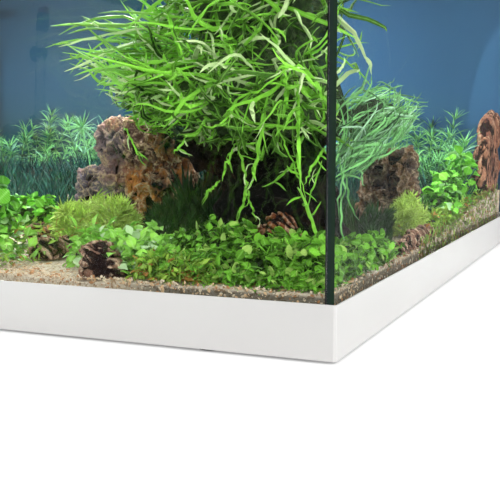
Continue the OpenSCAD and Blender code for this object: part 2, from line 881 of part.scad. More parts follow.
// Slabs that lean on the right pane in the back corner
corner = 2 * in_b - 92; // where the slabs start, from the front pane
module back_rocks() {
  h = back_rock_h;
  color([0.42, 0.24, 0.17])
    planted() {
      for (i = [0:4])
        lumps([[8 + 2 * i, corner + 22 * i, h * 0.3, 18 + 2 * i, 42, h * 0.95],
          [7 + 2 * i, corner + 20 + 19 * i, h * (0.68 + 0.03 * i), 15 + 3 * i, 40, h * 0.66]],
          141 + 7 * i, 0.12, 18);
    }
}

module foreground_rocks() {
  w = small_rock_w;
  color([0.36, 0.22, 0.15])
    planted() {
      // Layered rock at the front
      for (i = [0:3])
        lumps([[148 + 2 * i, 18, w * (0.06 + 0.16 * i), w * (1.1 - 0.12 * i), 26 - 2 * i, w * 0.36]],
          161 + i, 0.12, 18);
      // Stones to the left of it, and farther back
      lumps([[228, 74, w * 0.1, w, 24, w * 0.86], [232, 98, w * 0.08, w * 0.76, 20, w * 0.7],
        [312, 176, w * 0.1, w * 1.1, 28, w * 0.9]], 166, 0.14, 18);
      // A flat stone that leans on the foot of the stump
      lumps([[56, STUMP[1] - stump_w * 0.61, 16, 34, 12, 50]], 170, 0.1, 18);
      // Low ridge along the right pane
      for (i = [0:4])
        lumps([[8, 186 + 21 * i, 3, 13, 28, 26 - 3 * abs(i - 2)]], 171 + i, 0.14, 16);
    }
}

module left_rock() {
  h = left_rock_h;
  color([0.43, 0.29, 0.19])
    planted() {
      mirror([1, 0, 0]) crag(LEFT_ROCK, left_rock_w, h, 181);
      lumps_left([[LEFT_ROCK[0] + left_rock_w * 0.52, LEFT_ROCK[1] - 4, h * 0.06, 44, 56, h * 0.3],
        [LEFT_ROCK[0] - left_rock_w * 0.46, LEFT_ROCK[1] - 2, h * 0.08, 36, 50, h * 0.34]],
        197, 0.13);
    }
}

// Plants -------------------------------------------------------------------
// Round-leaf plants that fill the front corner, along both panes
module corner_carpet() {
  h = carpet_h;
  color([0.4, 0.68, 0.2])
    planted() {
      for (i = [0:4])
        lumps([[16 + 22 * i, 22 + 3 * (i % 2), h * 0.32, 34, 36, h * (1.3 - 0.2 * i)]],
          201 + i, 0.1, 18);
      for (i = [0:3])
        lumps([[24 + 25 * i, 48, h * 0.42, 38, 32, h * (0.94 + 0.5 * min(1, i / 2))]],
          211 + i, 0.1, 18);
      for (i = [0:3])
        lumps([[10, 62 + 24 * i, h * 0.3, 18, 32, h * (1.2 - 0.15 * i)]], 221 + i, 0.1, 16);
    }
}

// Low plants between the rocks, and a mossy strip by the right pane
module ground_plants() {
  color([0.48, 0.72, 0.22])
    planted() {
      for (i = [0:2])
        lumps([[146 + 23 * i, 66 + 3 * i, 3, 34, 38, 24]], 231 + i, 0.1, 16);
      for (i = [0:2])
        lumps([[156 + 20 * i, 98, 3, 30, 32, 24]], 241 + i, 0.1, 16);
      for (i = [0:2])
        lumps([[13, 312 + 17 * i, 4, 22, 22, 24]], 251 + i, 0.1, 16);
    }
}

module fine_bushes() {
  h = bush_h;
  color([0.55, 0.8, 0.2])
    planted() {
      for (i = [0:4])
        lumps([[220 + 9 * i, 148 + 3 * (i % 2), h * 0.42, 30, 34, h * (1.05 - 0.05 * abs(i - 2))]],
          261 + i, 0.08, 20);
      for (i = [0:3])
        lumps([[25 + i, 271 + 5 * i, h * 0.36, 23, 24, h * 0.95]], 271 + i, 0.08, 20);
    }
}

module dark_tuft() {
  color([0.1, 0.25, 0.1])
    planted() {
      // One between the tall rock and the stump, and a smaller one behind the stump
      beside = STUMP[0] + stump_w * 0.52 + 28;
      before = TALL_ROCK[1] - tall_rock_w * 0.4 - 26;
      for (i = [0:7]) {
        a = 360 * i / 8;
        lumps([[beside + 10 * cos(a), before + 8 * sin(a), 12, 24, 22, 54 - 4 * (i % 3)],
          [36 + 6 * cos(a), 222 + 6 * sin(a), 8, 18, 18, 44 - 4 * (i % 3)]], 281 + i, 0.1, 14);
      }
    }
}

// Broad-leaf plants, one clump at the front and one by the right pane
module broad_leaf_plants() {
  h = broad_h;
  color([0.42, 0.75, 0.18])
    planted() {
      for (i = [0:5])
        lumps([[268 + 26 * i, 62 + 8 * (i % 2), h * 0.36, 42, 50, h * (1.32 - 0.12 * (i % 3))]],
          291 + i, 0.1, 18);
      for (i = [0:2])
        lumps([[344 + 28 * i, 222, h * 0.2, 42, 42, h * 0.8]], 297 + i, 0.1, 18);
      // A row that climbs along the right pane and ends before the slabs in the corner
      pitch = (corner - 54 - 378) / 4;
      for (i = [0:4])
        lumps([[22, 378 + pitch * i, h * (0.17 + 0.03 * i), 32, 36, h * (0.77 + 0.14 * i)]],
          301 + i, 0.1, 18);
    }
}

module left_plants() {
  h = broad_h;
  color([0.35, 0.65, 0.2])
    planted() {
      for (i = [0:7])
        lumps_left([[36 + 34 * i, 44 + 9 * (i % 3), h * 0.22, 50, 56, h * (0.84 - 0.1 * (i % 3))]],
          311 + i, 0.1, 18);
      for (i = [0:3])
        lumps_left([[34, 120 + 34 * i, h * 0.2, 44, 44, h * 0.8]], 321 + i, 0.1, 16);
    }
}

// Feathery stems at the back, each one a soft spindle that stands in the sand
STEM_W = 34;
module stem(high) {
  lump([STEM_W, STEM_W, high], 331 + high, 0.1, 20);
}

stem_left = filter_side + filter_w + 30; // the stems start beside the filter
stem_right = 46; // and end before the corner rock
STEM_PITCH = 46;
module rear_stems() {
  run = 2 * in_r - stem_left - stem_right;
  count = floor(run / STEM_PITCH);
  color([0.2, 0.45, 0.25])
    planted()
      for (i = [0:count - 1], row = [0, 1]) {
        high = stems_h * (0.8 + 0.24 * sin(67 * i + 130 * row)) * (1 - 0.25 * row);
        from_front = 2 * in_b - 28 - 44 * row;
        translate([in_l + stem_left + (i + 0.5 - 0.24 * row) * run / count, in_f + from_front,
            sand_z(from_front) + high * 0.4])
          stem(high);
      }
}

base_rail_front();
base_rail_rear();
base_rail_left();
base_rail_right();
base_corner_keys();
base_feet();
floor_pane();
front_pane();
rear_pane();
left_pane();
right_pane();
upright_seams();
floor_seams();
front_brace();
rear_brace();
cross_brace();
backdrop_sheet();
hood_rail_front();
hood_rail_rear();
hood_rail_left();
hood_rail_right();
hood_corner_keys();
centre_rail();
hinge_pins();
front_flap();
front_flap_grip();
rear_flap();
rear_flap_grip();
lamp_clips();
front_lamp_profile();
front_lamp_diffuser();
front_lamp_caps();
rear_lamp_profile();
rear_lamp_diffuser();
rear_lamp_caps();
filter_casing();
filter_sponge();
pump_head();
outlet_nozzle();
filter_cups();
heater_tube();
heater_head();
heater_dial();
heater_clips();
sand_bed();
root_stump();
fern_clump();
tall_rock();
side_rock();
back_rocks();
foreground_rocks();
left_rock();
corner_carpet();
ground_plants();
fine_bushes();
dark_tuft();
broad_leaf_plants();
left_plants();
rear_stems();
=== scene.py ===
import json
import math
import random

import bmesh
import bpy
import numpy as np
from mathutils import Matrix, Vector, noise
from mathutils.bvhtree import BVHTree


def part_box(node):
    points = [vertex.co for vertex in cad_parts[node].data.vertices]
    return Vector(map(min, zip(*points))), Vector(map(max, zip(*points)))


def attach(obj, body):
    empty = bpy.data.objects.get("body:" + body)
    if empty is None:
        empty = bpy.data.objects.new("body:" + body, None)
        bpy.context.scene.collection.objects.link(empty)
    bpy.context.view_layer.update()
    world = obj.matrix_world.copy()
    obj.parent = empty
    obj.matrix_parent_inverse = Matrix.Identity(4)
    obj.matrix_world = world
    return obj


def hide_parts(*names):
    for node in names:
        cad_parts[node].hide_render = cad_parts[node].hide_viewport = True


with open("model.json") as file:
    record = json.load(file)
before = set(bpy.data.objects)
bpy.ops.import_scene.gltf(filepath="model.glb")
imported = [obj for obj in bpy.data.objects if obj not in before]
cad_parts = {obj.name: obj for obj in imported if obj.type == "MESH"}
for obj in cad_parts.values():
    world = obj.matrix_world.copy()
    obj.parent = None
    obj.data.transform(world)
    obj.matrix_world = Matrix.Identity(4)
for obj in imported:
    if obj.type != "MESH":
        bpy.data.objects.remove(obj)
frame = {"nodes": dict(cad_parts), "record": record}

# The warp of the carved rocks starts from this seed. Without one it would differ from run to run.
ROCK_WARP_SEED = 1795404695
noise.seed_set(ROCK_WARP_SEED)

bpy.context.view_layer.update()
NODES = frame["nodes"]
BODY_OF = {node: body for body, nodes in frame["record"]["behaviour"]["bodies"].items() for node in nodes}
SLOT_OF = {row["node"]: row["material_slot"] for row in frame["record"]["subparts"]}
UP = np.array((0.0, 0.0, 1.0))
FULL_TURN = 6.28        # in radians, for leaves and chips that may lie any way round
LEAF_GAP = 0.0009       # how near leaves and chips come to the glass
ROCK_GAP = 0.001        # how near the rocks come to it
FERN_GAP = 0.0015       # how near the middle lines of the fern's blades come to it


def room(gap):
    """The lowest and the highest x and y inside the tank, at a gap from its glass."""
    return ((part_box("left_pane")[1].x + gap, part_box("front_pane")[1].y + gap),
            (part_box("right_pane")[0].x - gap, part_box("rear_pane")[0].y - gap))


# ---------------------------------------------------------------- camera

def make_camera():
    """A camera low in front of the tank's right-hand corner, looking across to the back left."""
    data = bpy.data.cameras.new("camera")
    data.sensor_width = 36
    data.lens = 64.8
    camera = bpy.data.objects.new("camera", data)
    bpy.context.scene.collection.objects.link(camera)
    camera.location = (0.5399, -0.7627, 0.1155)
    camera.rotation_euler = (math.radians(90 - 6.9), 0, math.radians(23.2))
    bpy.context.scene.camera = camera


# ---------------------------------------------------------------- hand tools

def put_down():
    """Leave nothing selected, so that a new primitive is all that an operator acts on."""
    if bpy.context.mode != "OBJECT":
        bpy.ops.object.mode_set(mode="OBJECT")
    bpy.ops.object.select_all(action="DESELECT")


def hold(piece):
    """Make one piece the only one selected, and the active one."""
    put_down()
    piece.select_set(True)
    bpy.context.view_layer.objects.active = piece


def open_up(piece, kind="FACE"):
    """Go into edit mode on one piece with nothing selected."""
    hold(piece)
    bpy.ops.object.mode_set(mode="EDIT")
    bpy.ops.mesh.select_mode(type=kind)
    bpy.ops.mesh.select_all(action="DESELECT")


def open_all(piece, kind="FACE"):
    """Go into edit mode on one piece with all of it selected."""
    open_up(piece, kind)
    bpy.ops.mesh.select_all(action="SELECT")


def pick(test):
    """In edit mode, select just the points whose place passes the test."""
    bpy.ops.mesh.select_all(action="DESELECT")
    data = bpy.context.edit_object.data
    for vertex in bmesh.from_edit_mesh(data).verts:
        if test(vertex.co):
            vertex.select_set(True)
    bmesh.update_edit_mesh(data)


def close_up():
    """Leave edit mode."""
    bpy.ops.object.mode_set(mode="OBJECT")


def turn_outwards():
    """In edit mode, make every face point outwards."""
    bpy.ops.mesh.select_all(action="SELECT")
    bpy.ops.mesh.normals_make_consistent(inside=False)


def work(piece, kind, **settings):
    """Add one modifier and apply it."""
    hold(piece)
    modifier = piece.modifiers.new(kind.lower(), kind)
    for key, value in settings.items():
        setattr(modifier, key, value)
    bpy.ops.object.modifier_apply(modifier=modifier.name)


def settle(piece):
    """Put the piece's place into its mesh."""
    hold(piece)
    bpy.ops.object.transform_apply(location=True, rotation=True, scale=True)


def block(low, high):
    """A block between two corners."""
    put_down()
    low, high = Vector(low), Vector(high)
    bpy.ops.mesh.primitive_cube_add(size=1, location=(low + high) / 2)
    piece = bpy.context.object
    piece.scale = high - low
    settle(piece)
    return piece


def finish_piece(piece, name, skins, body, stands_for=(), angle=35):
    """Name a piece, give it its materials and its smoothing, and tie it to its body.
    stands_for holds the CAD nodes that it takes the place of."""
    piece.name = name
    piece.data.name = name
    piece.data.materials.clear()
    for skin in skins if isinstance(skins, list) else [skins]:
        piece.data.materials.append(skin)
    hold(piece)
    bpy.ops.object.shade_smooth_by_angle(angle=math.radians(angle))
    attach(piece, body)
    if stands_for:
        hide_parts(*stands_for)


def merged_copy(node):
    """A copy of a CAD solid with its triangles joined, as a new piece."""
    piece = bpy.data.objects.new(node + "_copy", NODES[node].data.copy())
    bpy.context.scene.collection.objects.link(piece)
    open_all(piece, "VERT")
    bpy.ops.mesh.remove_doubles(threshold=0.00001)
    close_up()
    return piece


def softened(node, skin, width=0.0004, rows=2):
    """A CAD solid with its sharp edges rounded, which stands for that solid."""
    piece = merged_copy(node)
    open_all(piece)
    bpy.ops.mesh.dissolve_limited(angle_limit=math.radians(0.5))
    close_up()
    work(piece, "BEVEL", width=width, segments=rows, limit_method="ANGLE",
         angle_limit=math.radians(35), use_clamp_overlap=True, miter_outer="MITER_ARC")
    finish_piece(piece, node + "_finished", skin, BODY_OF[node], (node,))
    # The broad faces stay flat right up to the rounded edges
    work(piece, "WEIGHTED_NORMAL", weight=100, keep_sharp=True)


# ---------------------------------------------------------------- colours and node wiring

def shade(red, green, blue):
    """A colour given in 0-255 display values, as the renderer's linear colour."""
    def linear(value):
        value = value / 255
        return value / 12.92 if value <= 0.04045 else ((value + 0.055) / 1.055) ** 2.4
    return (linear(red), linear(green), linear(blue), 1.0)


def feed(tree, node, inputs):
    """Link inputs of a node to other sockets, or set them to plain values."""
    for key, value in inputs.items():
        if isinstance(value, bpy.types.NodeSocket):
            tree.links.new(value, node.inputs[key])
        else:
            node.inputs[key].default_value = value


def wire(tree, kind, inputs=None, **settings):
    """Add a node, and set or link its inputs."""
    node = tree.nodes.new("ShaderNode" + kind)
    for key, value in settings.items():
        setattr(node, key, value)
    feed(tree, node, inputs or {})
    return node


def blend_colours(tree, factor, first, second, how="MIX"):
    """Mix two colours. The Mix node takes its factor at socket 0 and its colours at 6 and 7."""
    return wire(tree, "Mix", {0: factor, 6: first, 7: second}, data_type="RGBA", blend_type=how).outputs[2]


def sums(tree, operation, first, second=0.0, clamp=False):
    return wire(tree, "Math", {0: first, 1: second}, operation=operation, use_clamp=clamp).outputs[0]


def swing(tree, value, amount):
    """How far a noise value lies from its middle, times an amount."""
    return sums(tree, "MULTIPLY", sums(tree, "SUBTRACT", value, 0.5), amount)


def band(tree, value, low, high, out_low=0.0, out_high=1.0):
    """Carry a value from one range to another, smoothly and clamped."""
    return wire(tree, "MapRange", {"Value": value, "From Min": low, "From Max": high,
                                   "To Min": out_low, "To Max": out_high},
                interpolation_type="SMOOTHSTEP").outputs[0]


def cloud(tree, place, scale, detail=2.0, roughness=0.5):
    """A soft noise over a place."""
    return wire(tree, "TexNoise", {"Vector": place, "Scale": scale, "Detail": detail,
                                   "Roughness": roughness}).outputs[0]


def split(tree, vector):
    """The three parts of a vector."""
    return wire(tree, "SeparateXYZ", {0: vector}).outputs


def dimmed(tree, colour, value):
    """A colour made darker or lighter by a value."""
    grey = wire(tree, "CombineColor", {0: value, 1: value, 2: value}).outputs[0]
    return blend_colours(tree, 1.0, colour, grey, "MULTIPLY")


def new_group(name, inputs):
    """A node group with named inputs that puts out a colour, a roughness and a height.
    Returns the tree, the sockets of what it is given, and its output node."""
    tree = bpy.data.node_groups.new(name, "ShaderNodeTree")
    for label, kind in inputs.items():
        tree.interface.new_socket(label, in_out="INPUT", socket_type="NodeSocket" + kind)
    for label, kind in (("Colour", "Color"), ("Roughness", "Float"), ("Height", "Float")):
        tree.interface.new_socket(label, in_out="OUTPUT", socket_type="NodeSocket" + kind)
    return tree, tree.nodes.new("NodeGroupInput").outputs, tree.nodes.new("NodeGroupOutput")


def make_fine_finish():
    """Two near colours in soft patches, a fine grain to the touch and uneven gloss."""
    tree, given, made = new_group("fine_finish", {
        "Vector": "Vector", "Colour": "Color", "Patch colour": "Color", "Patch size": "Float",
        "Grain size": "Float", "Roughness": "Float", "Unevenness": "Float"})
    patch = cloud(tree, given["Vector"], given["Patch size"], 3.0, 0.55)
    uneven = swing(tree, patch, given["Unevenness"])
    feed(tree, made, {
        "Colour": blend_colours(tree, band(tree, patch, 0.35, 0.7), given["Colour"], given["Patch colour"]),
        "Roughness": sums(tree, "ADD", given["Roughness"], uneven, True),
        "Height": cloud(tree, given["Vector"], given["Grain size"])})
    return tree


def make_leaf_skin():
    """A leaf's colour from its own tone, its length and its midrib, with mottled patches. Its foot is darker,
    as painted shade, and a share of the leaves takes the sheen-or-odd colour: a painted pale sheen on most
    plants, a real odd colour on some.
    """
    tree, given, made = new_group("leaf_skin", {
        "Leaf": "Vector", "Vector": "Vector", "Light": "Color", "Deep": "Color", "Rib": "Color",
        "Sheen or odd": "Color", "Sheen or odd share": "Float", "Patch size": "Float"})
    across, along, tone = split(tree, given["Leaf"])
    patch = cloud(tree, given["Vector"], given["Patch size"], 3.0)
    lightness = sums(tree, "ADD", sums(tree, "MULTIPLY", tone, 1.05), swing(tree, patch, 0.5), True)
    colour = blend_colours(tree, lightness, given["Deep"], given["Light"])
    # Darker towards the leaf's foot: painted shade where the leaves start among the others
    colour = dimmed(tree, colour, band(tree, along, 0.0, 0.35, 0.55, 1.0))
    rib = band(tree, sums(tree, "ABSOLUTE", across), 0.0, 0.12, 0.55, 0.0)
    colour = blend_colours(tree, rib, colour, given["Rib"])
    # A share of leaves, picked by their tone, takes the sheen-or-odd colour: mostly a painted pale sheen
    chance = sums(tree, "FRACT", sums(tree, "MULTIPLY", tone, 7.31))
    sheen_or_odd = sums(tree, "LESS_THAN", chance, given["Sheen or odd share"])
    colour = blend_colours(tree, sums(tree, "MULTIPLY", sheen_or_odd, 0.8), colour, given["Sheen or odd"])
    veins = wire(tree, "TexWave", {"Vector": given["Leaf"], "Scale": 3.0, "Distortion": 1.5},
                 bands_direction="Y").outputs[1]
    feed(tree, made, {"Colour": colour, "Roughness": band(tree, patch, 0.3, 0.7, 0.28, 0.5),
                      "Height": sums(tree, "ADD", veins, patch)})
    return tree


def make_rock_skin():
    """Crust, face and hollow-shade colours by how deep a point lies, with pale veins, stains and a tint or
    shade.
    The hollow shade is painted shade deep in the hollows; the tint or shade is painted shade on one rock's
    shaded side and a stone's own colour on another.
    """
    tree, given, made = new_group("rock_skin", {
        "Vector": "Vector", "Depth": "Float", "Crust": "Color", "Face": "Color", "Stain": "Color",
        "Hollow shade": "Color", "Patch size": "Float", "Tint": "Color", "Tint or shade share": "Float"})
    patch = cloud(tree, given["Vector"], given["Patch size"], 6.0, 0.65)
    fine = cloud(tree, given["Vector"], 420.0, 5.0, 0.75)
    swirl = wire(tree, "TexNoise", {"Vector": given["Vector"], "Scale": 70.0, "Detail": 3.0}).outputs
    bent = wire(tree, "VectorMath", {0: swirl["Color"], "Scale": 0.022}, operation="SCALE").outputs[0]
    warped = wire(tree, "VectorMath", {0: given["Vector"], 1: bent}).outputs[0]
    network = wire(tree, "TexVoronoi", {"Vector": warped, "Scale": 130.0},
                   feature="DISTANCE_TO_EDGE").outputs[0]
    colour = blend_colours(tree, band(tree, patch, 0.44, 0.6), given["Face"], given["Stain"])
    # Tint or shade round one place: painted shade on the lava rock's shaded side, the stone's own colour
    # elsewhere
    colour = blend_colours(tree, given["Tint or shade share"], colour, given["Tint"])
    ragged = sums(tree, "ADD", given["Depth"], swing(tree, fine, 0.8))
    vein = sums(tree, "MULTIPLY", band(tree, network, 0.11, 0.02), band(tree, swirl[0], 0.46, 0.6))
    crusted = sums(tree, "MAXIMUM", band(tree, ragged, 0.14, -0.04), sums(tree, "MULTIPLY", vein, 0.75))
    kept = sums(tree, "SUBTRACT", 1.0, sums(tree, "MULTIPLY", given["Tint or shade share"], 0.6))
    crusted = sums(tree, "MULTIPLY", crusted, kept)
    colour = blend_colours(tree, crusted, colour, given["Crust"])
    # Painted shade: the hollow-shade colour deep in the hollows
    colour = blend_colours(tree, band(tree, ragged, 0.28, 0.6), colour, given["Hollow shade"])
    feed(tree, made, {
        "Colour": dimmed(tree, colour, band(tree, fine, 0.3, 0.7, 0.55, 1.35)),
        "Roughness": band(tree, fine, 0.3, 0.7, 0.6, 0.95),
        "Height": sums(tree, "ADD", fine, sums(tree, "MULTIPLY", crusted, 0.6))})
    return tree


FINE_FINISH = make_fine_finish()
LEAF_SKIN = make_leaf_skin()
ROCK_SKIN = make_rock_skin()


# ---------------------------------------------------------------- materials

def blank_material(name):
    """A material with one Principled shader. Returns the material, its tree and the shader."""
    material = bpy.data.materials.new(name)
    material.use_nodes = True
    tree = material.node_tree
    tree.nodes.clear()
    shader = wire(tree, "BsdfPrincipled")
    wire(tree, "OutputMaterial", {0: shader.outputs[0]})
    return material, tree, shader


def show_instead(tree, surface):
    """Let the material show another shader in place of its Principled one."""
    out = next(n for n in tree.nodes if n.type == "OUTPUT_MATERIAL")
    feed(tree, out, {0: surface})


def own_place(tree):
    return wire(tree, "TexCoord").outputs["Object"]


def leaf_of(tree):
    """What each point of a pattern's copy keeps: its place across and along the pattern, and its tone."""
    return wire(tree, "Attribute", attribute_name="leaf").outputs["Vector"]


def add_relief(tree, shader, height, distance, strength=1.0):
    bump = wire(tree, "Bump", {"Height": height, "Distance": distance, "Strength": strength})
    feed(tree, shader, {"Normal": bump.outputs[0]})


def dress(tree, shader, group, inputs, relief, specular):
    """Put a shared skin on a shader: its colour, its roughness, and its height as fine relief."""
    skin = wire(tree, "Group", inputs, node_tree=group)
    feed(tree, shader, {"Base Color": skin.outputs["Colour"], "Roughness": skin.outputs["Roughness"],
                        "Specular IOR Level": specular})
    add_relief(tree, shader, skin.outputs["Height"], relief)


def plain_finish(name, colour, patch, patch_size, grain_size, roughness, unevenness=0.1, grain=0.00002,
                 metallic=0.0, coat=0.0, specular=0.5):
    """Moulded plastic, rubber, paint or metal: fine_finish with its own values."""
    material, tree, shader = blank_material(name)
    dress(tree, shader, FINE_FINISH, {
        "Vector": own_place(tree), "Colour": shade(*colour), "Patch colour": shade(*patch),
        "Patch size": patch_size, "Grain size": grain_size, "Roughness": roughness,
        "Unevenness": unevenness}, grain, specular)
    feed(tree, shader, {"Metallic": metallic, "Coat Weight": coat})
    return material


def leaf_finish(name, light, deep, rib, sheen_or_odd=None, sheen_or_odd_share=0.0, patch_size=30.0):
    """A plant's leaves, which read the leaf attribute of their mesh. A share of them has the sheen-or-odd
    colour:
    a painted pale sheen on most plants, a real odd colour on some.
    """
    material, tree, shader = blank_material(name)
    dress(tree, shader, LEAF_SKIN, {
        "Leaf": leaf_of(tree), "Vector": own_place(tree), "Light": shade(*light), "Deep": shade(*deep),
        "Rib": shade(*rib), "Sheen or odd": shade(*(sheen_or_odd or light)), "Sheen or odd share": sheen_or_odd_share,
        "Patch size": patch_size}, 0.0003, 0.15)
    return material


def rock_finish(name, crust, face, stain, hollow_shade, patch_size, tint=None, tint_or_shade_at=(0, 0, 0), tint_or_shade_reach=0.0):
    """Rock or wood, which reads the depth attribute of its mesh. Its hollows take painted shade, and round
    one place its face takes the tint or shade.
    """
    material, tree, shader = blank_material(name)
    place = own_place(tree)
    away = wire(tree, "VectorMath", {0: place, 1: tint_or_shade_at}, operation="DISTANCE").outputs["Value"]
    dress(tree, shader, ROCK_SKIN, {
        "Vector": place, "Depth": wire(tree, "Attribute", attribute_name="depth").outputs["Fac"],
        "Crust": shade(*crust), "Face": shade(*face), "Stain": shade(*stain), "Hollow shade": shade(*hollow_shade),
        "Patch size": patch_size, "Tint": shade(*(tint or face)),
        "Tint or shade share": band(tree, away, tint_or_shade_reach * 1.25, tint_or_shade_reach * 0.7, 0.0, 0.75) if tint else 0.0},
        0.0012, 0.12)
    return material


def clear_glass(name, tint, body):
    """Very clear glass whose shadow rays pass, so that lamps light what is behind it.
    body is how much of it can be seen at all."""
    material, tree, shader = blank_material(name)
    feed(tree, shader, {"Base Color": tint, "Roughness": 0.0, "IOR": 1.47, "Specular IOR Level": 0.3,
                        "Transmission Weight": 1.0, "Alpha": body})
    add_relief(tree, shader, cloud(tree, own_place(tree), 5.0, 3.0), 0.00002, 0.1)
    through = wire(tree, "BsdfTransparent", {"Color": tint}).outputs[0]
    shadow = wire(tree, "LightPath").outputs["Is Shadow Ray"]
    show_instead(tree, wire(tree, "MixShader", {0: shadow, 1: shader.outputs[0], 2: through}).outputs[0])
    return material


def ground_edge():
    """The ground edge of a pane: dark green-grey, bluer on its left half, finely frosted."""
    material, tree, shader = blank_material("ground_glass_edge")
    place = own_place(tree)
    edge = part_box("right_pane")[0].x
    bluish = band(tree, split(tree, place)[0], edge + 0.0016, edge + 0.0034, 1.0, 0.0)
    base = blend_colours(tree, bluish, shade(22, 42, 27), shade(22, 38, 34))
    grain = cloud(tree, place, 260.0, 4.0)
    colour = blend_colours(tree, band(tree, grain, 0.3, 0.75, 0.0, 0.35), base, shade(34, 56, 40))
    feed(tree, shader, {"Base Color": colour, "Roughness": 0.5, "Specular IOR Level": 0.15})
    add_relief(tree, shader, grain, 0.00005)
    return material


def backdrop_finish():
    """Blue sheet, brightest right of the middle and deeper towards its ends, painted light and shade, and
    hazy green-blue low down.
    """
    material, tree, shader = blank_material("blue_sheet")
    place = own_place(tree)
    x, _, z = split(tree, place)
    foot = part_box("backdrop_sheet")[0].z
    haze = cloud(tree, place, 2.6)
    height = sums(tree, "ADD", z, sums(tree, "MULTIPLY", haze, 0.03))
    across = sums(tree, "ADD", x, sums(tree, "MULTIPLY", haze, 0.05))
    colour = blend_colours(tree, band(tree, height, foot + 0.08, foot + 0.19), shade(58, 102, 114),
                           shade(64, 108, 140))
    # Painted light: a brighter band right of the middle, falling off to darker towards the right-hand end
    colour = blend_colours(tree, band(tree, across, -0.1, 0.16), colour, shade(82, 132, 184))
    colour = blend_colours(tree, band(tree, across, 0.2, 0.38), colour, shade(68, 112, 150))
    feed(tree, shader, {"Base Color": colour, "Roughness": 0.7, "Specular IOR Level": 0.1})
    add_relief(tree, shader, cloud(tree, place, 400.0), 0.00002)
    return material


LAMP_GLOW = 54.0
LIGHT_POINT_STEP = 0.012


def lit_diffuser():
    """A frosted cover that glows evenly, with a faint row of dots where its light points sit."""
    material, tree, shader = blank_material("lit_diffuser")
    along = split(tree, own_place(tree))[0]
    dots = sums(tree, "SINE", sums(tree, "MULTIPLY", along, 2 * math.pi / LIGHT_POINT_STEP))
    glow = blend_colours(tree, band(tree, dots, -1.0, 1.0), (0.86, 0.93, 1.0, 1), (1.0, 1.0, 0.97, 1))
    feed(tree, shader, {"Emission Color": glow, "Emission Strength": LAMP_GLOW,
                        "Base Color": (0.9, 0.92, 0.93, 1)})
    return material


def sand_finish():
    """Fine pale sand with grains of other colours, darker along the bottom of its face towards the right."""
    material, tree, shader = blank_material("fine_sand")
    place = own_place(tree)
    x, _, z = split(tree, place)
    grains = wire(tree, "TexVoronoi", {"Vector": place, "Scale": 900.0}).outputs
    hue = split(tree, grains["Color"])[0]
    colour = blend_colours(tree, band(tree, hue, 0.6, 0.95), shade(208, 194, 170), shade(160, 130, 98))
    colour = blend_colours(tree, band(tree, hue, 0.2, 0.05), colour, shade(228, 218, 200))
    broad = cloud(tree, place, 22.0, 4.0)
    colour = blend_colours(tree, band(tree, broad, 0.52, 0.85, 0.0, 0.5), colour, shade(134, 110, 78))
    frame_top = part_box("base_rail_front")[1].z
    # Darker in a strip along the bottom of the face, towards the right
    low_dark = band(tree, z, frame_top + 0.0032, frame_top + 0.0012, 0.0, 0.75)
    colour = blend_colours(tree, sums(tree, "MULTIPLY", low_dark, band(tree, x, 0.26, 0.3)), colour,
                           shade(58, 56, 44))
    feed(tree, shader, {"Base Color": colour, "Roughness": 0.9})
    add_relief(tree, shader, grains[0], 0.0005)
    return material


def chip_finish():
    """Stone chips: each takes one of several stone colours from its tone."""
    material, tree, shader = blank_material("stone_chips")
    ramp = wire(tree, "ValToRGB", {0: split(tree, leaf_of(tree))[2]})
    stones = [(0.0, shade(74, 48, 34)), (0.12, shade(150, 96, 60)), (0.3, shade(200, 142, 92)),
              (0.42, shade(228, 192, 148)), (0.56, shade(240, 222, 192)), (0.8, shade(246, 238, 224))]
    while len(ramp.color_ramp.elements) < len(stones):
        ramp.color_ramp.elements.new(0.5)
    for element, (position, colour) in zip(ramp.color_ramp.elements, stones):
        element.position = position
        element.color = colour
    ramp.color_ramp.interpolation = "CONSTANT"
    grain = cloud(tree, own_place(tree), 700.0, 4.0)
    colour = blend_colours(tree, band(tree, grain, 0.35, 0.7, 0.0, 0.35), ramp.outputs[0], shade(110, 84, 60))
    feed(tree, shader, {"Base Color": colour, "Roughness": 0.75})
    add_relief(tree, shader, grain, 0.0004)
    return material


def striped_metal():
    """Brushed anodised aluminium with long fine streaks."""
    material, tree, shader = blank_material("brushed_aluminium")
    stretch = wire(tree, "Mapping", {"Vector": own_place(tree), "Scale": (6.0, 900.0, 900.0)}).outputs[0]
    streak = cloud(tree, stretch, 1.0, 3.0)
    feed(tree, shader, {
        "Base Color": blend_colours(tree, streak, shade(176, 178, 182), shade(208, 210, 213)),
        "Roughness": band(tree, streak, 0.3, 0.7, 0.28, 0.45), "Metallic": 1.0})
    add_relief(tree, shader, streak, 0.00002)
    return material


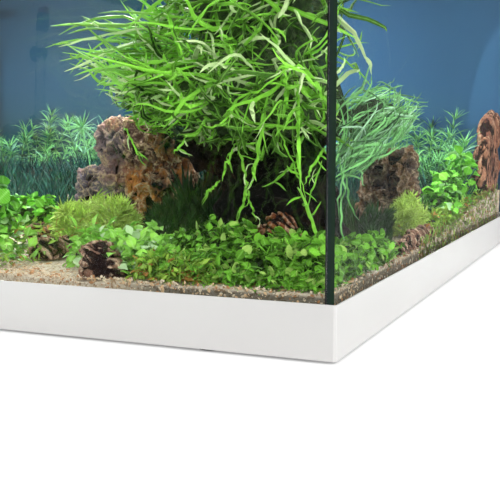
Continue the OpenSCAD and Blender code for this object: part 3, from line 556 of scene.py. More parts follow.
# Colour, patch colour, patch size, grain size and roughness, then unevenness, grain height, metal, coat and
# gloss where they are not the usual ones. The shade cores fill the insides of the plants in darker greens
# than
# their leaves: painted shade where little light gets in.
PLAIN_FINISHES = {
    "white_plastic": ((220, 218, 216), (216, 214, 212), 4.0, 1400.0, 0.34, 0.06, 0.000012, 0.0, 0.0, 0.4),
    "grey_plastic": ((150, 151, 153), (140, 141, 143), 20.0, 1200.0, 0.5),
    "dark_plastic": ((38, 40, 43), (50, 52, 54), 30.0, 1500.0, 0.48, 0.2, 0.00004),
    "rubber_feet": ((40, 40, 40), (52, 51, 50), 60.0, 900.0, 0.8),
    "suction_rubber": ((74, 92, 90), (92, 108, 104), 50.0, 700.0, 0.4),
    "silicone": ((14, 18, 19), (24, 30, 30), 80.0, 500.0, 0.25),
    "hinge_steel": ((196, 197, 200), (178, 180, 184), 40.0, 900.0, 0.25, 0.2, 0.00001, 1.0),
    "sponge": ((40, 92, 140), (24, 62, 104), 260.0, 620.0, 0.95, 0.1, 0.0012),
    "dial_red": ((176, 40, 32), (160, 34, 28), 60.0, 900.0, 0.35, 0.1, 0.00002, 0.0, 0.2),
    "bush_heart": ((104, 152, 44), (130, 176, 56), 120.0, 400.0, 0.9, 0.1, 0.001),
    "stem_heart": ((38, 66, 62), (56, 88, 78), 90.0, 400.0, 0.9, 0.1, 0.001),
    "plant_heart": ((26, 44, 18), (40, 58, 24), 90.0, 400.0, 0.9, 0.1, 0.001),
}
# Crust, face, stain and hollow-shade colours, patch size, then the tint or shade, its middle and its reach.
# The hollow shade is painted shade. The lava rock's grey-blue tint is painted shade on the tall rock's shaded
# left side; the split rocks' orange is their own colour.
ROCK_FINISHES = {
    # The stump's near-black colours: dark wood, deepened with painted shade where it lies under the fern
    "stump_wood": ((40, 34, 26), (18, 16, 13), (28, 23, 17), (7, 6, 5), 30.0),
    "lava_rock": ((252, 222, 184), (126, 96, 84), (214, 142, 76), (14, 10, 12), 26.0,
                  (108, 108, 130), (0.1, -0.11, 0.09), 0.06),
    "side_lava": ((178, 156, 130), (82, 70, 64), (116, 88, 62), (20, 16, 17), 26.0),
    "red_rock": ((224, 184, 150), (140, 92, 74), (172, 124, 96), (46, 26, 22), 50.0),
    "dark_rock": ((248, 218, 186), (164, 124, 104), (124, 90, 72), (36, 24, 22), 60.0,
                  (130, 66, 26), (0.338, -0.235, 0.062), 0.04),
}
# Light, deep and rib colours, then the sheen-or-odd colour, the share of leaves that have it, and the patch
# size.
# That colour is a painted pale sheen, except the red of ground_leaf, which is the rosettes' own colour.
LEAF_FINISHES = {
    "fern_leaf": ((156, 240, 76), (8, 42, 6), (172, 240, 108), (226, 248, 184), 0.16),
    "fern_side_leaf": ((148, 226, 134), (12, 50, 28), (164, 232, 156), (192, 238, 200), 0.12),
    "round_leaf": ((150, 232, 72), (12, 44, 4), (160, 232, 100), (196, 236, 120), 0.12),
    "ground_leaf": ((186, 236, 84), (40, 76, 14), (196, 236, 120), (204, 124, 76), 0.14),
    "mint_leaf": ((182, 252, 104), (50, 132, 34), (196, 250, 150), (226, 252, 206), 0.14),
    "bush_leaf": ((226, 255, 130), (184, 244, 92), (232, 255, 156)),
    # The tuft's own dark green, which the grass by the stump also takes as painted shade
    "tuft_leaf": ((66, 108, 52), (16, 36, 22), (66, 106, 58)),
    "broad_leaf": ((148, 236, 76), (36, 116, 22), (172, 238, 124), (196, 240, 178), 0.12, 60.0),
    "stem_leaf": ((130, 208, 126), (40, 92, 78), (154, 216, 140), (150, 206, 182), 0.12),
    "meadow_leaf": ((56, 108, 98), (20, 50, 52), (64, 116, 98)),
}


def make_skins():
    """Every finish, by the record's slot where one slot has one finish."""
    skins = {
        "tank_glass": clear_glass("tank_glass", (0.96, 0.985, 0.975, 1), 0.04),
        "heater_glass": clear_glass("heater_glass", (0.9, 0.94, 0.93, 1), 0.6),
        "ground_edge": ground_edge(),
        "backdrop": backdrop_finish(),
        "lamp_diffuser": lit_diffuser(),
        "lamp_aluminium": striped_metal(),
        "sand": sand_finish(),
        "chips": chip_finish(),
    }
    for finish, rows in ((plain_finish, PLAIN_FINISHES), (rock_finish, ROCK_FINISHES),
                         (leaf_finish, LEAF_FINISHES)):
        for name, values in rows.items():
            skins[name] = finish(name, *values)
    return skins


# ---------------------------------------------------------------- small patterns, modelled once

def as_pattern(piece):
    """Keep a small piece's points and faces for copying, and put the piece itself away."""
    mesh = piece.data
    points = np.empty(len(mesh.vertices) * 3)
    mesh.vertices.foreach_get("co", points)
    corners = np.empty(len(mesh.loops), np.int32)
    mesh.loops.foreach_get("vertex_index", corners)
    sizes = np.empty(len(mesh.polygons), np.int32)
    mesh.polygons.foreach_get("loop_total", sizes)
    bpy.data.objects.remove(piece)
    return {"points": points.reshape(-1, 3), "corners": corners, "sizes": sizes}


def drawn_out(outline, flat):
    """A blade of length 1 along Y: a flattened triangle that stands across Y, extruded step by step, with
    each ring as wide as the outline says."""
    put_down()
    bpy.ops.mesh.primitive_circle_add(vertices=3, radius=0.5, fill_type="NGON",
                                      rotation=(math.radians(90), 0, 0))
    piece = bpy.context.object
    piece.scale = (1, 1, flat)
    settle(piece)
    open_all(piece)
    bpy.ops.transform.resize(value=(outline[0], 1, outline[0]))
    steps = len(outline) - 1
    for before, after in zip(outline, outline[1:]):
        bpy.ops.mesh.extrude_region_move(TRANSFORM_OT_translate={"value": (0, 1 / steps, 0)})
        bpy.ops.transform.resize(value=(after / before, 1, after / before))
    turn_outwards()
    close_up()
    return as_pattern(piece)


def round_leaf():
    """A small cupped leaf on a stalk: a disc with a sunk middle, drawn out a little at its tip."""
    put_down()
    bpy.ops.mesh.primitive_circle_add(vertices=8, radius=0.5, fill_type="NGON", location=(0, 0.62, 0))
    piece = bpy.context.object
    settle(piece)
    open_all(piece)
    bpy.ops.mesh.extrude_region_move(TRANSFORM_OT_translate={"value": (0, 0, 0.05)})
    bpy.ops.mesh.inset(thickness=0.2, depth=-0.06)
    pick(lambda place: place.y > 1.0)
    bpy.ops.transform.translate(value=(0, 0.08, -0.06))
    pick(lambda place: place.y < 0.25)
    bpy.ops.transform.translate(value=(0, -0.04, -0.05))
    bpy.ops.mesh.select_all(action="DESELECT")
    bpy.ops.mesh.primitive_cone_add(vertices=3, radius1=0.06, radius2=0.04, depth=0.5,
                                    location=(0, 0.0, -0.18), rotation=(math.radians(-38), 0, 0))
    turn_outwards()
    close_up()
    return as_pattern(piece)


def folded_leaf(outline, fold, arch):
    """A leaf of length 1 along Y from a small grid: shaped to the outline, folded at its rib and arched."""
    put_down()
    rows = len(outline) - 1
    bpy.ops.mesh.primitive_grid_add(x_subdivisions=2, y_subdivisions=rows, size=1, location=(0, 0.5, 0))
    piece = bpy.context.object
    settle(piece)
    open_up(piece, "VERT")
    for row, wide in enumerate(outline):
        along = row / rows
        pick(lambda place: abs(place.y - along) < 0.4 / rows)
        bpy.ops.transform.resize(value=(wide, 1, 1), center_override=(0, 0, 0))
        bpy.ops.transform.translate(value=(0, 0, arch * math.sin(math.pi * 0.8 * along)))
    pick(lambda place: abs(place.x) < 0.001)
    bpy.ops.transform.translate(value=(0, 0, -fold))
    close_up()
    work(piece, "SOLIDIFY", thickness=0.02, offset=0)
    return as_pattern(piece)


def stone_chip(seed):
    """An angular chip: a coarse ball with its corners pushed about and its top pressed flat."""
    put_down()
    bpy.ops.mesh.primitive_ico_sphere_add(subdivisions=1, radius=0.5)
    piece = bpy.context.object
    draw = random.Random(seed)
    open_up(piece, "VERT")
    pick(lambda place: place.z > 0.2)
    bpy.ops.transform.resize(value=(0.9, 0.9, 0.55))
    bpy.ops.mesh.select_all(action="SELECT")
    bpy.ops.transform.vertex_random(offset=0.16, uniform=0.4, normal=0.3, seed=seed)
    bpy.ops.transform.resize(value=(1.0, draw.uniform(0.6, 0.9), draw.uniform(0.35, 0.6)))
    close_up()
    return as_pattern(piece)


def sprig(needle, tiers, per_tier, lean, thick):
    """A stem's worth of needles: rings of one needle. Each ring leans out less than the one below it, and its
    needles are shorter."""
    rise, reach, top_share = 0.55, 0.62, 0.75
    points, corners, sizes = [], [], []
    start = 0
    for tier in range(tiers):
        for turn in range(per_tier):
            angle = 2 * math.pi * (turn + 0.5 * (tier % 2)) / per_tier
            tilt = math.radians(lean * (1 - 0.55 * tier / tiers))
            share = 1 - (1 - top_share) * tier / max(1, tiers - 1)
            grid = np.array(Matrix.Translation((0, 0, rise * tier / tiers)) @ Matrix.Rotation(angle, 4, "Z")
                            @ Matrix.Rotation(math.radians(90) - tilt, 4, "X")
                            @ Matrix.Diagonal((thick, reach * share, thick, 1)))
            points.append(needle["points"] @ grid[:3, :3].T + grid[:3, 3])
            corners.append(needle["corners"] + start)
            sizes.append(needle["sizes"])
            start += len(needle["points"])
    return {"points": np.concatenate(points), "corners": np.concatenate(corners),
            "sizes": np.concatenate(sizes)}


def gathered(name, blocks):
    """One mesh from many copies, none of which pass through the glass.
    Each block is a pattern, its moved points and its tone from 0 to 1.
    The leaf attribute keeps each point's place across and along its own pattern, and the tone."""
    patterns, moved, tones = zip(*blocks)
    points = np.concatenate(moved)
    points[:, :2] = np.clip(points[:, :2], *room(LEAF_GAP))
    starts = np.cumsum([0] + [len(part) for part in moved[:-1]])
    corners = np.concatenate([p["corners"] + s for p, s in zip(patterns, starts)]).astype(np.int32)
    sizes = np.concatenate([p["sizes"] for p in patterns]).astype(np.int32)
    leaf = np.concatenate([np.column_stack((p["points"][:, :2], np.full(len(p["points"]), tone)))
                           for p, tone in zip(patterns, tones)]).astype(np.float32)
    mesh = bpy.data.meshes.new(name)
    mesh.vertices.add(len(points))
    mesh.loops.add(len(corners))
    mesh.polygons.add(len(sizes))
    mesh.vertices.foreach_set("co", points.astype(np.float32).ravel())
    mesh.loops.foreach_set("vertex_index", corners)
    mesh.polygons.foreach_set("loop_start", np.concatenate(([0], np.cumsum(sizes)[:-1])).astype(np.int32))
    mesh.polygons.foreach_set("loop_total", sizes)
    mesh.attributes.new("leaf", "FLOAT_VECTOR", "POINT").data.foreach_set("vector", leaf.ravel())
    mesh.update(calc_edges=True)
    mesh.validate()
    piece = bpy.data.objects.new(name, mesh)
    bpy.context.scene.collection.objects.link(piece)
    return piece


# ---------------------------------------------------------------- placing things

def unit(vector):
    """A vector drawn to length 1."""
    return vector / (np.linalg.norm(vector) + 1e-12)


def facing(direction, roll):
    """Axes for a flat thing whose face looks along a direction: across, along, and out."""
    out = unit(np.asarray(direction, float))
    across = unit(np.cross(UP, out)) if abs(out[2]) < 0.98 else np.array((1.0, 0.0, 0.0))
    along = np.cross(out, across)
    cosine, sine = math.cos(roll), math.sin(roll)
    return cosine * across + sine * along, cosine * along - sine * across, out


def placed(pattern, place, axes, size):
    """A pattern's points at a place, on three axes, at one size or at a size for each axis."""
    sized_axes = np.array(axes) * np.broadcast_to(size, 3)[:, None]
    return pattern["points"] @ sized_axes + place


def wander(start, direction, length, droop, rng, steps, wiggle):
    """A growing line: it starts along a direction, sinks under its weight and curls as it likes."""
    line = [np.array(start, float)]
    way = unit(np.array(direction, float))
    bend = np.zeros(3)
    for step in range(steps):
        bend = 0.65 * bend + rng.normal(0, wiggle, 3)
        way = unit(way + bend + np.array((0, 0, -2 * droop * (step + 1) / steps ** 2)))
        line.append(line[-1] + way * length / steps)
    return np.array(line)


def laid_along(pattern, line, width, thickness, roll, rng):
    """A blade's points carried along a line, with a slow twist and ruffled edges."""
    steps = len(line) - 1
    across_blade, along_blade, through_blade = pattern["points"].T
    tangents = np.gradient(line, axis=0)
    tangents /= np.linalg.norm(tangents, axis=1)[:, None]
    twist = roll + rng.uniform(-1.2, 1.2) * np.linspace(0, 1, steps + 1)
    across = np.cross(tangents, UP)
    across /= np.linalg.norm(across, axis=1)[:, None] + 1e-9
    out = np.cross(across, tangents)
    turned = across * np.cos(twist)[:, None] + out * np.sin(twist)[:, None]
    raised = np.cross(turned, tangents)
    step = np.clip((along_blade * steps).round().astype(int), 0, steps)
    ruffle = 0.35 * width * np.sin(along_blade * 22 + roll * 9) * np.abs(across_blade)
    return (line[step] + turned[step] * (across_blade * width)[:, None]
            + raised[step] * (through_blade * thickness + ruffle)[:, None])


def surface_points(node, count, rng, depth=0.0, keep=None, shallow=0.0):
    """Random places on a solid's sides and top, each with the way the surface faces there.
    They lie from shallow to depth below the surface. Those that fail the keep test are left out."""
    mesh = NODES[node].data
    mesh.calc_loop_triangles()
    corners = np.array([[mesh.vertices[v].co for v in face.vertices] for face in mesh.loop_triangles])
    normals = np.cross(corners[:, 1] - corners[:, 0], corners[:, 2] - corners[:, 0])
    areas = np.linalg.norm(normals, axis=1)
    normals /= areas[:, None] + 1e-15
    weights = areas * (normals[:, 2] > -0.35)
    chosen = rng.choice(len(areas), size=count, p=weights / weights.sum())
    first, second = rng.random(count), rng.random(count)
    over = first + second > 1
    first[over], second[over] = 1 - first[over], 1 - second[over]
    places = corners[chosen, 0] + first[:, None] * (corners[chosen, 1] - corners[chosen, 0])
    places += second[:, None] * (corners[chosen, 2] - corners[chosen, 0])
    facings = normals[chosen]
    places -= facings * (shallow + rng.random(count) * (depth - shallow))[:, None]
    return [(place, way) for place, way in zip(places, facings) if keep is None or keep(place)]


def sand_height():
    """A function that gives the sand's height at a place."""
    sand = merged_copy("sand_bed")
    tree = BVHTree.FromPolygons([v.co[:] for v in sand.data.vertices],
                                [face.vertices[:] for face in sand.data.polygons])
    bpy.data.objects.remove(sand)
    clearance = 0.1
    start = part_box("sand_bed")[1].z + clearance

    def height(x, y):
        hit = tree.ray_cast(Vector((x, y, start)), Vector((0, 0, -1)))[0]
        return hit.z if hit else start - clearance
    return height


# ---------------------------------------------------------------- tank, frame and hood

def make_pane(node):
    """A pane with its corners ground off. Its narrow faces are frosted, its broad ones clear."""
    low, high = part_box(node)
    piece = block(low, high)
    thin = min(range(3), key=lambda axis: high[axis] - low[axis])
    open_all(piece, "EDGE")
    bpy.ops.mesh.bevel(offset=0.0005, segments=1)
    close_up()
    finish_piece(piece, node + "_glass", [SKINS["tank_glass"], SKINS["ground_edge"]], "tank",
                 (node,), angle=20)
    for face in piece.data.polygons:
        face.material_index = 0 if abs(face.normal[thin]) > 0.5 else 1


def make_tank():
    """The glass, its silicone seams and the blue sheet behind it."""
    for node in ("front_pane", "rear_pane", "left_pane", "right_pane", "floor_pane", "front_brace",
                 "rear_brace", "cross_brace"):
        make_pane(node)
    for node, finish in (("upright_seams", "silicone"), ("floor_seams", "silicone"),
                         ("backdrop_sheet", "backdrop")):
        softened(node, SKINS[finish], width=0.0001, rows=1)


def make_hard_parts():
    """Frame, hood, lamps, filter and heater: each CAD solid with softened edges and its own finish."""
    widths = {"base_rail": 0.00045, "hood_rail": 0.0007, "centre_rail": 0.0006, "front_flap": 0.0006,
              "rear_flap": 0.0006, "filter_casing": 0.0008, "pump_head": 0.003, "outlet_nozzle": 0.0006,
              "heater_head": 0.002, "heater_dial": 0.0008, "lamp_caps": 0.0012}
    beginnings = ("base_rail", "base_corner", "base_feet", "hood_", "centre_rail", "hinge_pins", "front_flap",
                  "rear_flap", "lamp_", "front_lamp", "rear_lamp", "filter_", "pump_head", "outlet_nozzle",
                  "heater_")
    for node in NODES:
        if node.startswith(beginnings):
            width = next((width for part, width in widths.items() if part in node), 0.0004)
            softened(node, SKINS[SLOT_OF[node]], width)


# ---------------------------------------------------------------- sand, rocks and wood

SAND_EDGE = 0.0016      # how far the grains stay from the bed's rim
PALE_FROM = 0.1         # right of here and in front of PALE_BEFORE, the chips are fine and pale
PALE_BEFORE = -0.25


def make_sand():
    """A grid over the whole bed, raised to the sand's height with small heaps, and drawn down at its rim."""
    low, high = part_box("sand_bed")
    put_down()
    bpy.ops.mesh.primitive_grid_add(x_subdivisions=230, y_subdivisions=170, size=1)
    piece = bpy.context.object
    piece.scale = (high.x - low.x - 2 * SAND_EDGE, high.y - low.y - 2 * SAND_EDGE, 1)
    settle(piece)
    for vertex in piece.data.vertices:
        x, y = vertex.co.x, vertex.co.y
        bumps = noise.fractal(Vector((x * 30, y * 30, 0)), 1.0, 2.0, 3) * 0.0022
        bumps += noise.noise(Vector((x * 260, y * 260, 5))) * 0.0005
        vertex.co.z = SAND_AT(x * 0.9999, y * 0.9999) + min(bumps, 0.0015) - 0.0006
    open_all(piece, "EDGE")
    bpy.ops.mesh.region_to_loop()
    bpy.ops.mesh.extrude_region_move(TRANSFORM_OT_translate={"value": (0, 0, -0.012)})
    bpy.ops.transform.resize(value=(1, 1, 0), center_override=(0, 0, low.z + 0.004))
    bpy.ops.mesh.edge_face_add()
    turn_outwards()
    close_up()
    finish_piece(piece, "sand", SKINS["sand"], "tank", ("sand_bed",), angle=50)


def share_of(value):
    """A value held between 0 and 1."""
    return min(1.0, max(0.0, value))


def ramp_up(value, low, high):
    """0 below a value, 1 above another, and a smooth climb between them."""
    share = share_of((value - low) / (high - low))
    return share * share * (3 - 2 * share)


def craggy(place, size):
    """Deep hollows between sharp ridges. Returns the push along the surface and how deep the place lies."""
    bent = place + noise.noise_vector(place * 45) * 0.008 + noise.noise_vector(place * 140) * 0.0028
    tall = Vector((bent.x, bent.y, bent.z * 0.6))
    wide = noise.voronoi(tall * 62 / size)[0]
    small = noise.voronoi(tall * 150 / size)[0]
    tiny = noise.voronoi(bent * 330 / size)[0]
    cave = ramp_up(wide[1] - wide[0], 0.05, 0.5)
    pit = ramp_up(small[1] - small[0], 0.04, 0.45)
    hole = ramp_up(tiny[1] - tiny[0], 0.04, 0.5)
    rough = noise.fractal(place * 230, 1.0, 2.1, 4)
    push = 0.003 * noise.noise(place * 24) - 0.0062 * cave - 0.0026 * pit - 0.0012 * hole + 0.0016 * rough
    return push, share_of(0.42 * cave + 0.3 * pit + 0.2 * hole - 0.2 * rough)


def fibrous(place, size, lean):
    """Rock that splits in long uneven fibres which run along one way."""
    way = Vector(lean).normalized()
    bent = place + noise.noise_vector(place * 35) * 0.007
    along = bent.dot(way)
    flat = bent - way * along * 0.84
    near = noise.voronoi(flat * 190 / size)[0]
    crack = ramp_up(near[1] - near[0], 0.3, 0.02)
    rough = noise.fractal(flat * 300, 1.0, 2.1, 4)
    push = 0.004 * noise.noise(place * 30) - 0.0026 * crack + 0.0012 * rough
    return push, share_of(0.2 + 0.7 * crack - 0.45 * rough)


def slanted_fibres(place, size):
    """Fibres that fall to the right."""
    return fibrous(place, size, (0.8, 0.2, -0.45))


def upright_fibres(place, size):
    """Fibres that stand up, on a rock that is a little fuller than its solid."""
    push, deep = fibrous(place, size, (0.1, 0.25, 1.0))
    return push + 0.002, deep


def furrowed(place, size):
    """Old root wood: long upright furrows with knots."""
    stretched = Vector((place.x * 60, place.y * 60, place.z * 12)) / size
    near = noise.voronoi(stretched + noise.noise_vector(place * 40) * 0.4)[0]
    groove = ramp_up(near[1] - near[0], 0.02, 0.4)
    rough = noise.fractal(place * 120, 1.0, 2.1, 3)
    push = 0.004 * groove - 0.004 + 0.0022 * rough + 0.004 * noise.noise(place * 18)
    return push, share_of(0.9 - groove * 0.75 - rough * 0.3)


def carved(node, name, skin, voxel, carve, size=1.0):
    """A CAD solid cut into even small faces and carved by a rule, which stands for that solid.
    Each point's depth attribute says how deep in a hollow it lies."""
    piece = merged_copy(node)
    work(piece, "REMESH", mode="VOXEL", voxel_size=voxel)
    work(piece, "SMOOTH", factor=0.6, iterations=3)
    mesh = piece.data
    depth = mesh.attributes.new("depth", "FLOAT", "POINT")
    (left, front), (right, back) = room(ROCK_GAP)
    moved = []
    for vertex, normal in zip(mesh.vertices, mesh.vertex_normals):
        push, deep = carve(vertex.co, size)
        depth.data[vertex.index].value = deep
        moved.append(vertex.co + Vector(normal.vector) * push)
    for vertex, place in zip(mesh.vertices, moved):
        vertex.co = (min(right, max(left, place.x)), min(back, max(front, place.y)), place.z)
    finish_piece(piece, name, skin, "tank", (node,), angle=60)


def make_rocks():
    """Porous lava rocks, red rocks and layered ones that split in fibres, and the old root."""
    carved("tall_rock", "tall_lava_rock", SKINS["lava_rock"], 0.0012, craggy)
    carved("side_rock", "side_lava_rock", SKINS["side_lava"], 0.0012, craggy, 0.9)
    carved("left_rock", "left_lava_rock", SKINS["lava_rock"], 0.0022, craggy, 1.2)
    carved("back_rocks", "back_red_rocks", SKINS["red_rock"], 0.0013, upright_fibres)
    carved("foreground_rocks", "foreground_split_rocks", SKINS["dark_rock"], 0.0009, slanted_fibres, 0.8)
    carved("root_stump", "stump", SKINS["stump_wood"], 0.0022, furrowed)


def make_chips():
    """Stone chips strewn on the sand, thickest along the front and right panes."""
    rng = np.random.default_rng(5)
    patterns = [stone_chip(seed) for seed in range(4)]
    low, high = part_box("sand_bed")
    rim = 0.004             # the chips are meant for the bed inside this rim
    blocks = []

    def tone_at(x, y):
        """Chips along the front pane and to the right take the pale tones, the others any tone."""
        return rng.uniform(0.36, 0.8) if x > PALE_FROM and y < PALE_BEFORE else rng.random()

    def drop(x, y, size):
        """Let a chip fall on the sand, where it lies nearly level."""
        pattern = patterns[rng.integers(len(patterns))]
        axes = facing((rng.normal(0, 0.3), rng.normal(0, 0.3), 1), rng.uniform(0, FULL_TURN))
        place = np.array((x, y, SAND_AT(x, y) + size * 0.12 - 0.0004))
        flake = (size, size * rng.uniform(0.5, 1.0), size * rng.uniform(0.4, 0.9))
        blocks.append((pattern, placed(pattern, place, axes, flake), tone_at(x, y)))

    # Along the front pane, beside the right pane, and over the open sand
    for _ in range(2200):
        size = 0.001 + 0.0034 * rng.random() ** 2.8
        left_end = low.x + rim if rng.random() < 0.45 else 0.12
        drop(rng.uniform(left_end, high.x - rim), low.y + 0.003 + 0.05 * rng.random() ** 1.6, size)
    for _ in range(900):
        size = 0.0018 + 0.0036 * rng.random() ** 2.2
        drop(high.x - 0.003 - 0.03 * rng.random() ** 1.4, rng.uniform(low.y + rim, high.y - 0.01), size)
    for _ in range(700):
        size = 0.0018 + 0.004 * rng.random() ** 2
        drop(rng.uniform(low.x + 0.01, high.x - 0.01), rng.uniform(low.y + 0.05, 0.05), size)
    # Chips that lie flat against the glass, in front of the sand
    frame_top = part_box("base_rail_front")[1].z
    for _ in range(3000):
        size = 0.0009 + 0.0022 * rng.random() ** 2
        pattern = patterns[rng.integers(len(patterns))]
        if rng.random() < 0.5:
            x, y = rng.uniform(low.x + rim, high.x - rim), low.y + LEAF_GAP
            out, foot = (0.0, -1.0, 0.0), frame_top - 0.003
        else:
            x, y = high.x - LEAF_GAP, rng.uniform(low.y + rim, high.y - rim)
            out, foot = (1, 0, 0), frame_top - 0.01
        top = SAND_AT(min(x, high.x - rim), max(y, low.y + rim))
        place = np.array((x, y, foot + (top + 0.002 - foot) * rng.random() ** 0.8))
        axes = facing(out, rng.uniform(0, FULL_TURN))
        flake = (size, size * 0.7, size * 0.4)
        blocks.append((pattern, placed(pattern, place, axes, flake), tone_at(x, y)))
    finish_piece(gathered("stone_chips", blocks), "stone_chips", SKINS["chips"], "tank", angle=20)


# ---------------------------------------------------------------- plants

def plant(name, node, skin, blocks, shrink=0.0022, angle=50, heart="plant_heart", height=1.0):
    """Leaves gathered into one piece that stands for its solid, over a dark shade core inside it: painted
    shade for the plant's inside. The core is the solid, shrunk, and height is its share of the solid's
    height."""
    finish_piece(gathered(name, blocks), name, skin, "tank", (node,), angle)
    core = merged_copy(node)
    work(core, "REMESH", mode="VOXEL", voxel_size=0.004)
    work(core, "SMOOTH", factor=0.8, iterations=6)
    open_all(core)
    bpy.ops.transform.shrink_fatten(value=-shrink)
    bpy.ops.transform.resize(value=(1, 1, height), center_override=(0, 0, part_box(node)[0].z))
    close_up()
    finish_piece(core, name + "_heart", SKINS[heart], "tank", angle=60)


def leafy(pattern, spots, rng, size, lift, spread, tones=(0.3, 1.0)):
    """Flat leaves at the given spots, each turned to the light and outwards, with a tone in a range.
    A higher lift turns them up, and a higher spread makes them less even."""
    blocks = []
    for place, outwards in spots:
        look = unit(outwards * (1 - lift) + UP * lift + rng.normal(0, spread, 3))
        axes = facing(look, rng.uniform(0, FULL_TURN))
        width = size * rng.uniform(0.65, 1.25)
        length = width * rng.uniform(0.9, 1.15)
        blocks.append((pattern, placed(pattern, place, axes, (width, length, width)), rng.uniform(*tones)))
    return blocks


def bristly(pattern, spots, rng, size, lift, spread=0.2, tones=(0.0, 1.0)):
    """Sprigs that point outwards and up from the given spots, with a tone in a range."""
    blocks = []
    for place, outwards in spots:
        out = unit(outwards * (1 - lift) + UP * lift + rng.normal(0, spread, 3))
        axes = facing(out, rng.uniform(0, FULL_TURN))
        length = size * rng.uniform(0.7, 1.2)
        foot = place - out * length * 0.4
        blocks.append((pattern, placed(pattern, foot, axes, length), rng.uniform(*tones)))
    return blocks


def sand_spots(across, back, count, rng, tall):
    """Places over a stretch of the sand, up to a height above it, each facing up."""
    places = []
    for _ in range(count):
        x, y = rng.uniform(*across), rng.uniform(*back)
        place = np.array((x, y, SAND_AT(x, y) + tall * rng.random() ** 1.4))
        places.append((place, UP + rng.normal(0, 0.4, 3)))
    return places


SIDE_FROM = -0.31       # the growth behind this line, across the corner, faces the right pane


def along_pane(x, y):
    """How far back a place lies for someone who looks in at the right pane, past its front corner."""
    return y + 3.06 * (x - 0.392)


def beside_pane(line):
    """Which points of a line belong to the growth that faces the right pane."""
    return along_pane(line[:, 0], line[:, 1]) > SIDE_FROM


def fern_roof(x, y):
    """How high the growth that faces the right pane reaches. It falls to the corner seam and to the back."""
    backward = along_pane(x, y)
    top = np.interp(backward, (-0.31, -0.285, -0.22, -0.2, -0.14, -0.07, -0.03),
                    (0.137, 0.144, 0.156, 0.157, 0.151, 0.145, 0.132))
    return np.where(backward > SIDE_FROM, top, 1.0)


def fern_floor(x, y):
    """How low the fern hangs. Its lower edge climbs to the left, and to the back along the right pane."""
    leftward = x + 0.72 * (y + 0.24)
    in_front = np.interp(leftward, (0.19, 0.219, 0.232, 0.241, 0.263, 0.284, 0.298, 0.318),
                         (0.158, 0.142, 0.130, 0.123, 0.119, 0.112, 0.107, 0.102))
    backward = along_pane(x, y)
    at_side = np.interp(backward, (-0.285, -0.245, -0.199, -0.161, -0.117, -0.068, -0.033, 0.0),
                        (0.086, 0.09, 0.1, 0.11, 0.123, 0.139, 0.16, 0.18))
    return np.where(backward > SIDE_FROM, at_side, in_front)


def grown(place, way, length, droop, rng, steps, wiggle):
    """A growing line that stays above the fern's lower edge: it is shortened until it fits, or left out."""
    for share in (1.0, 0.7, 0.48, 0.32):
        line = wander(place, way, length * share, droop, rng, steps, wiggle)
        if np.all(line[:, 2] > fern_floor(line[:, 0], line[:, 1])):
            return line
    return None


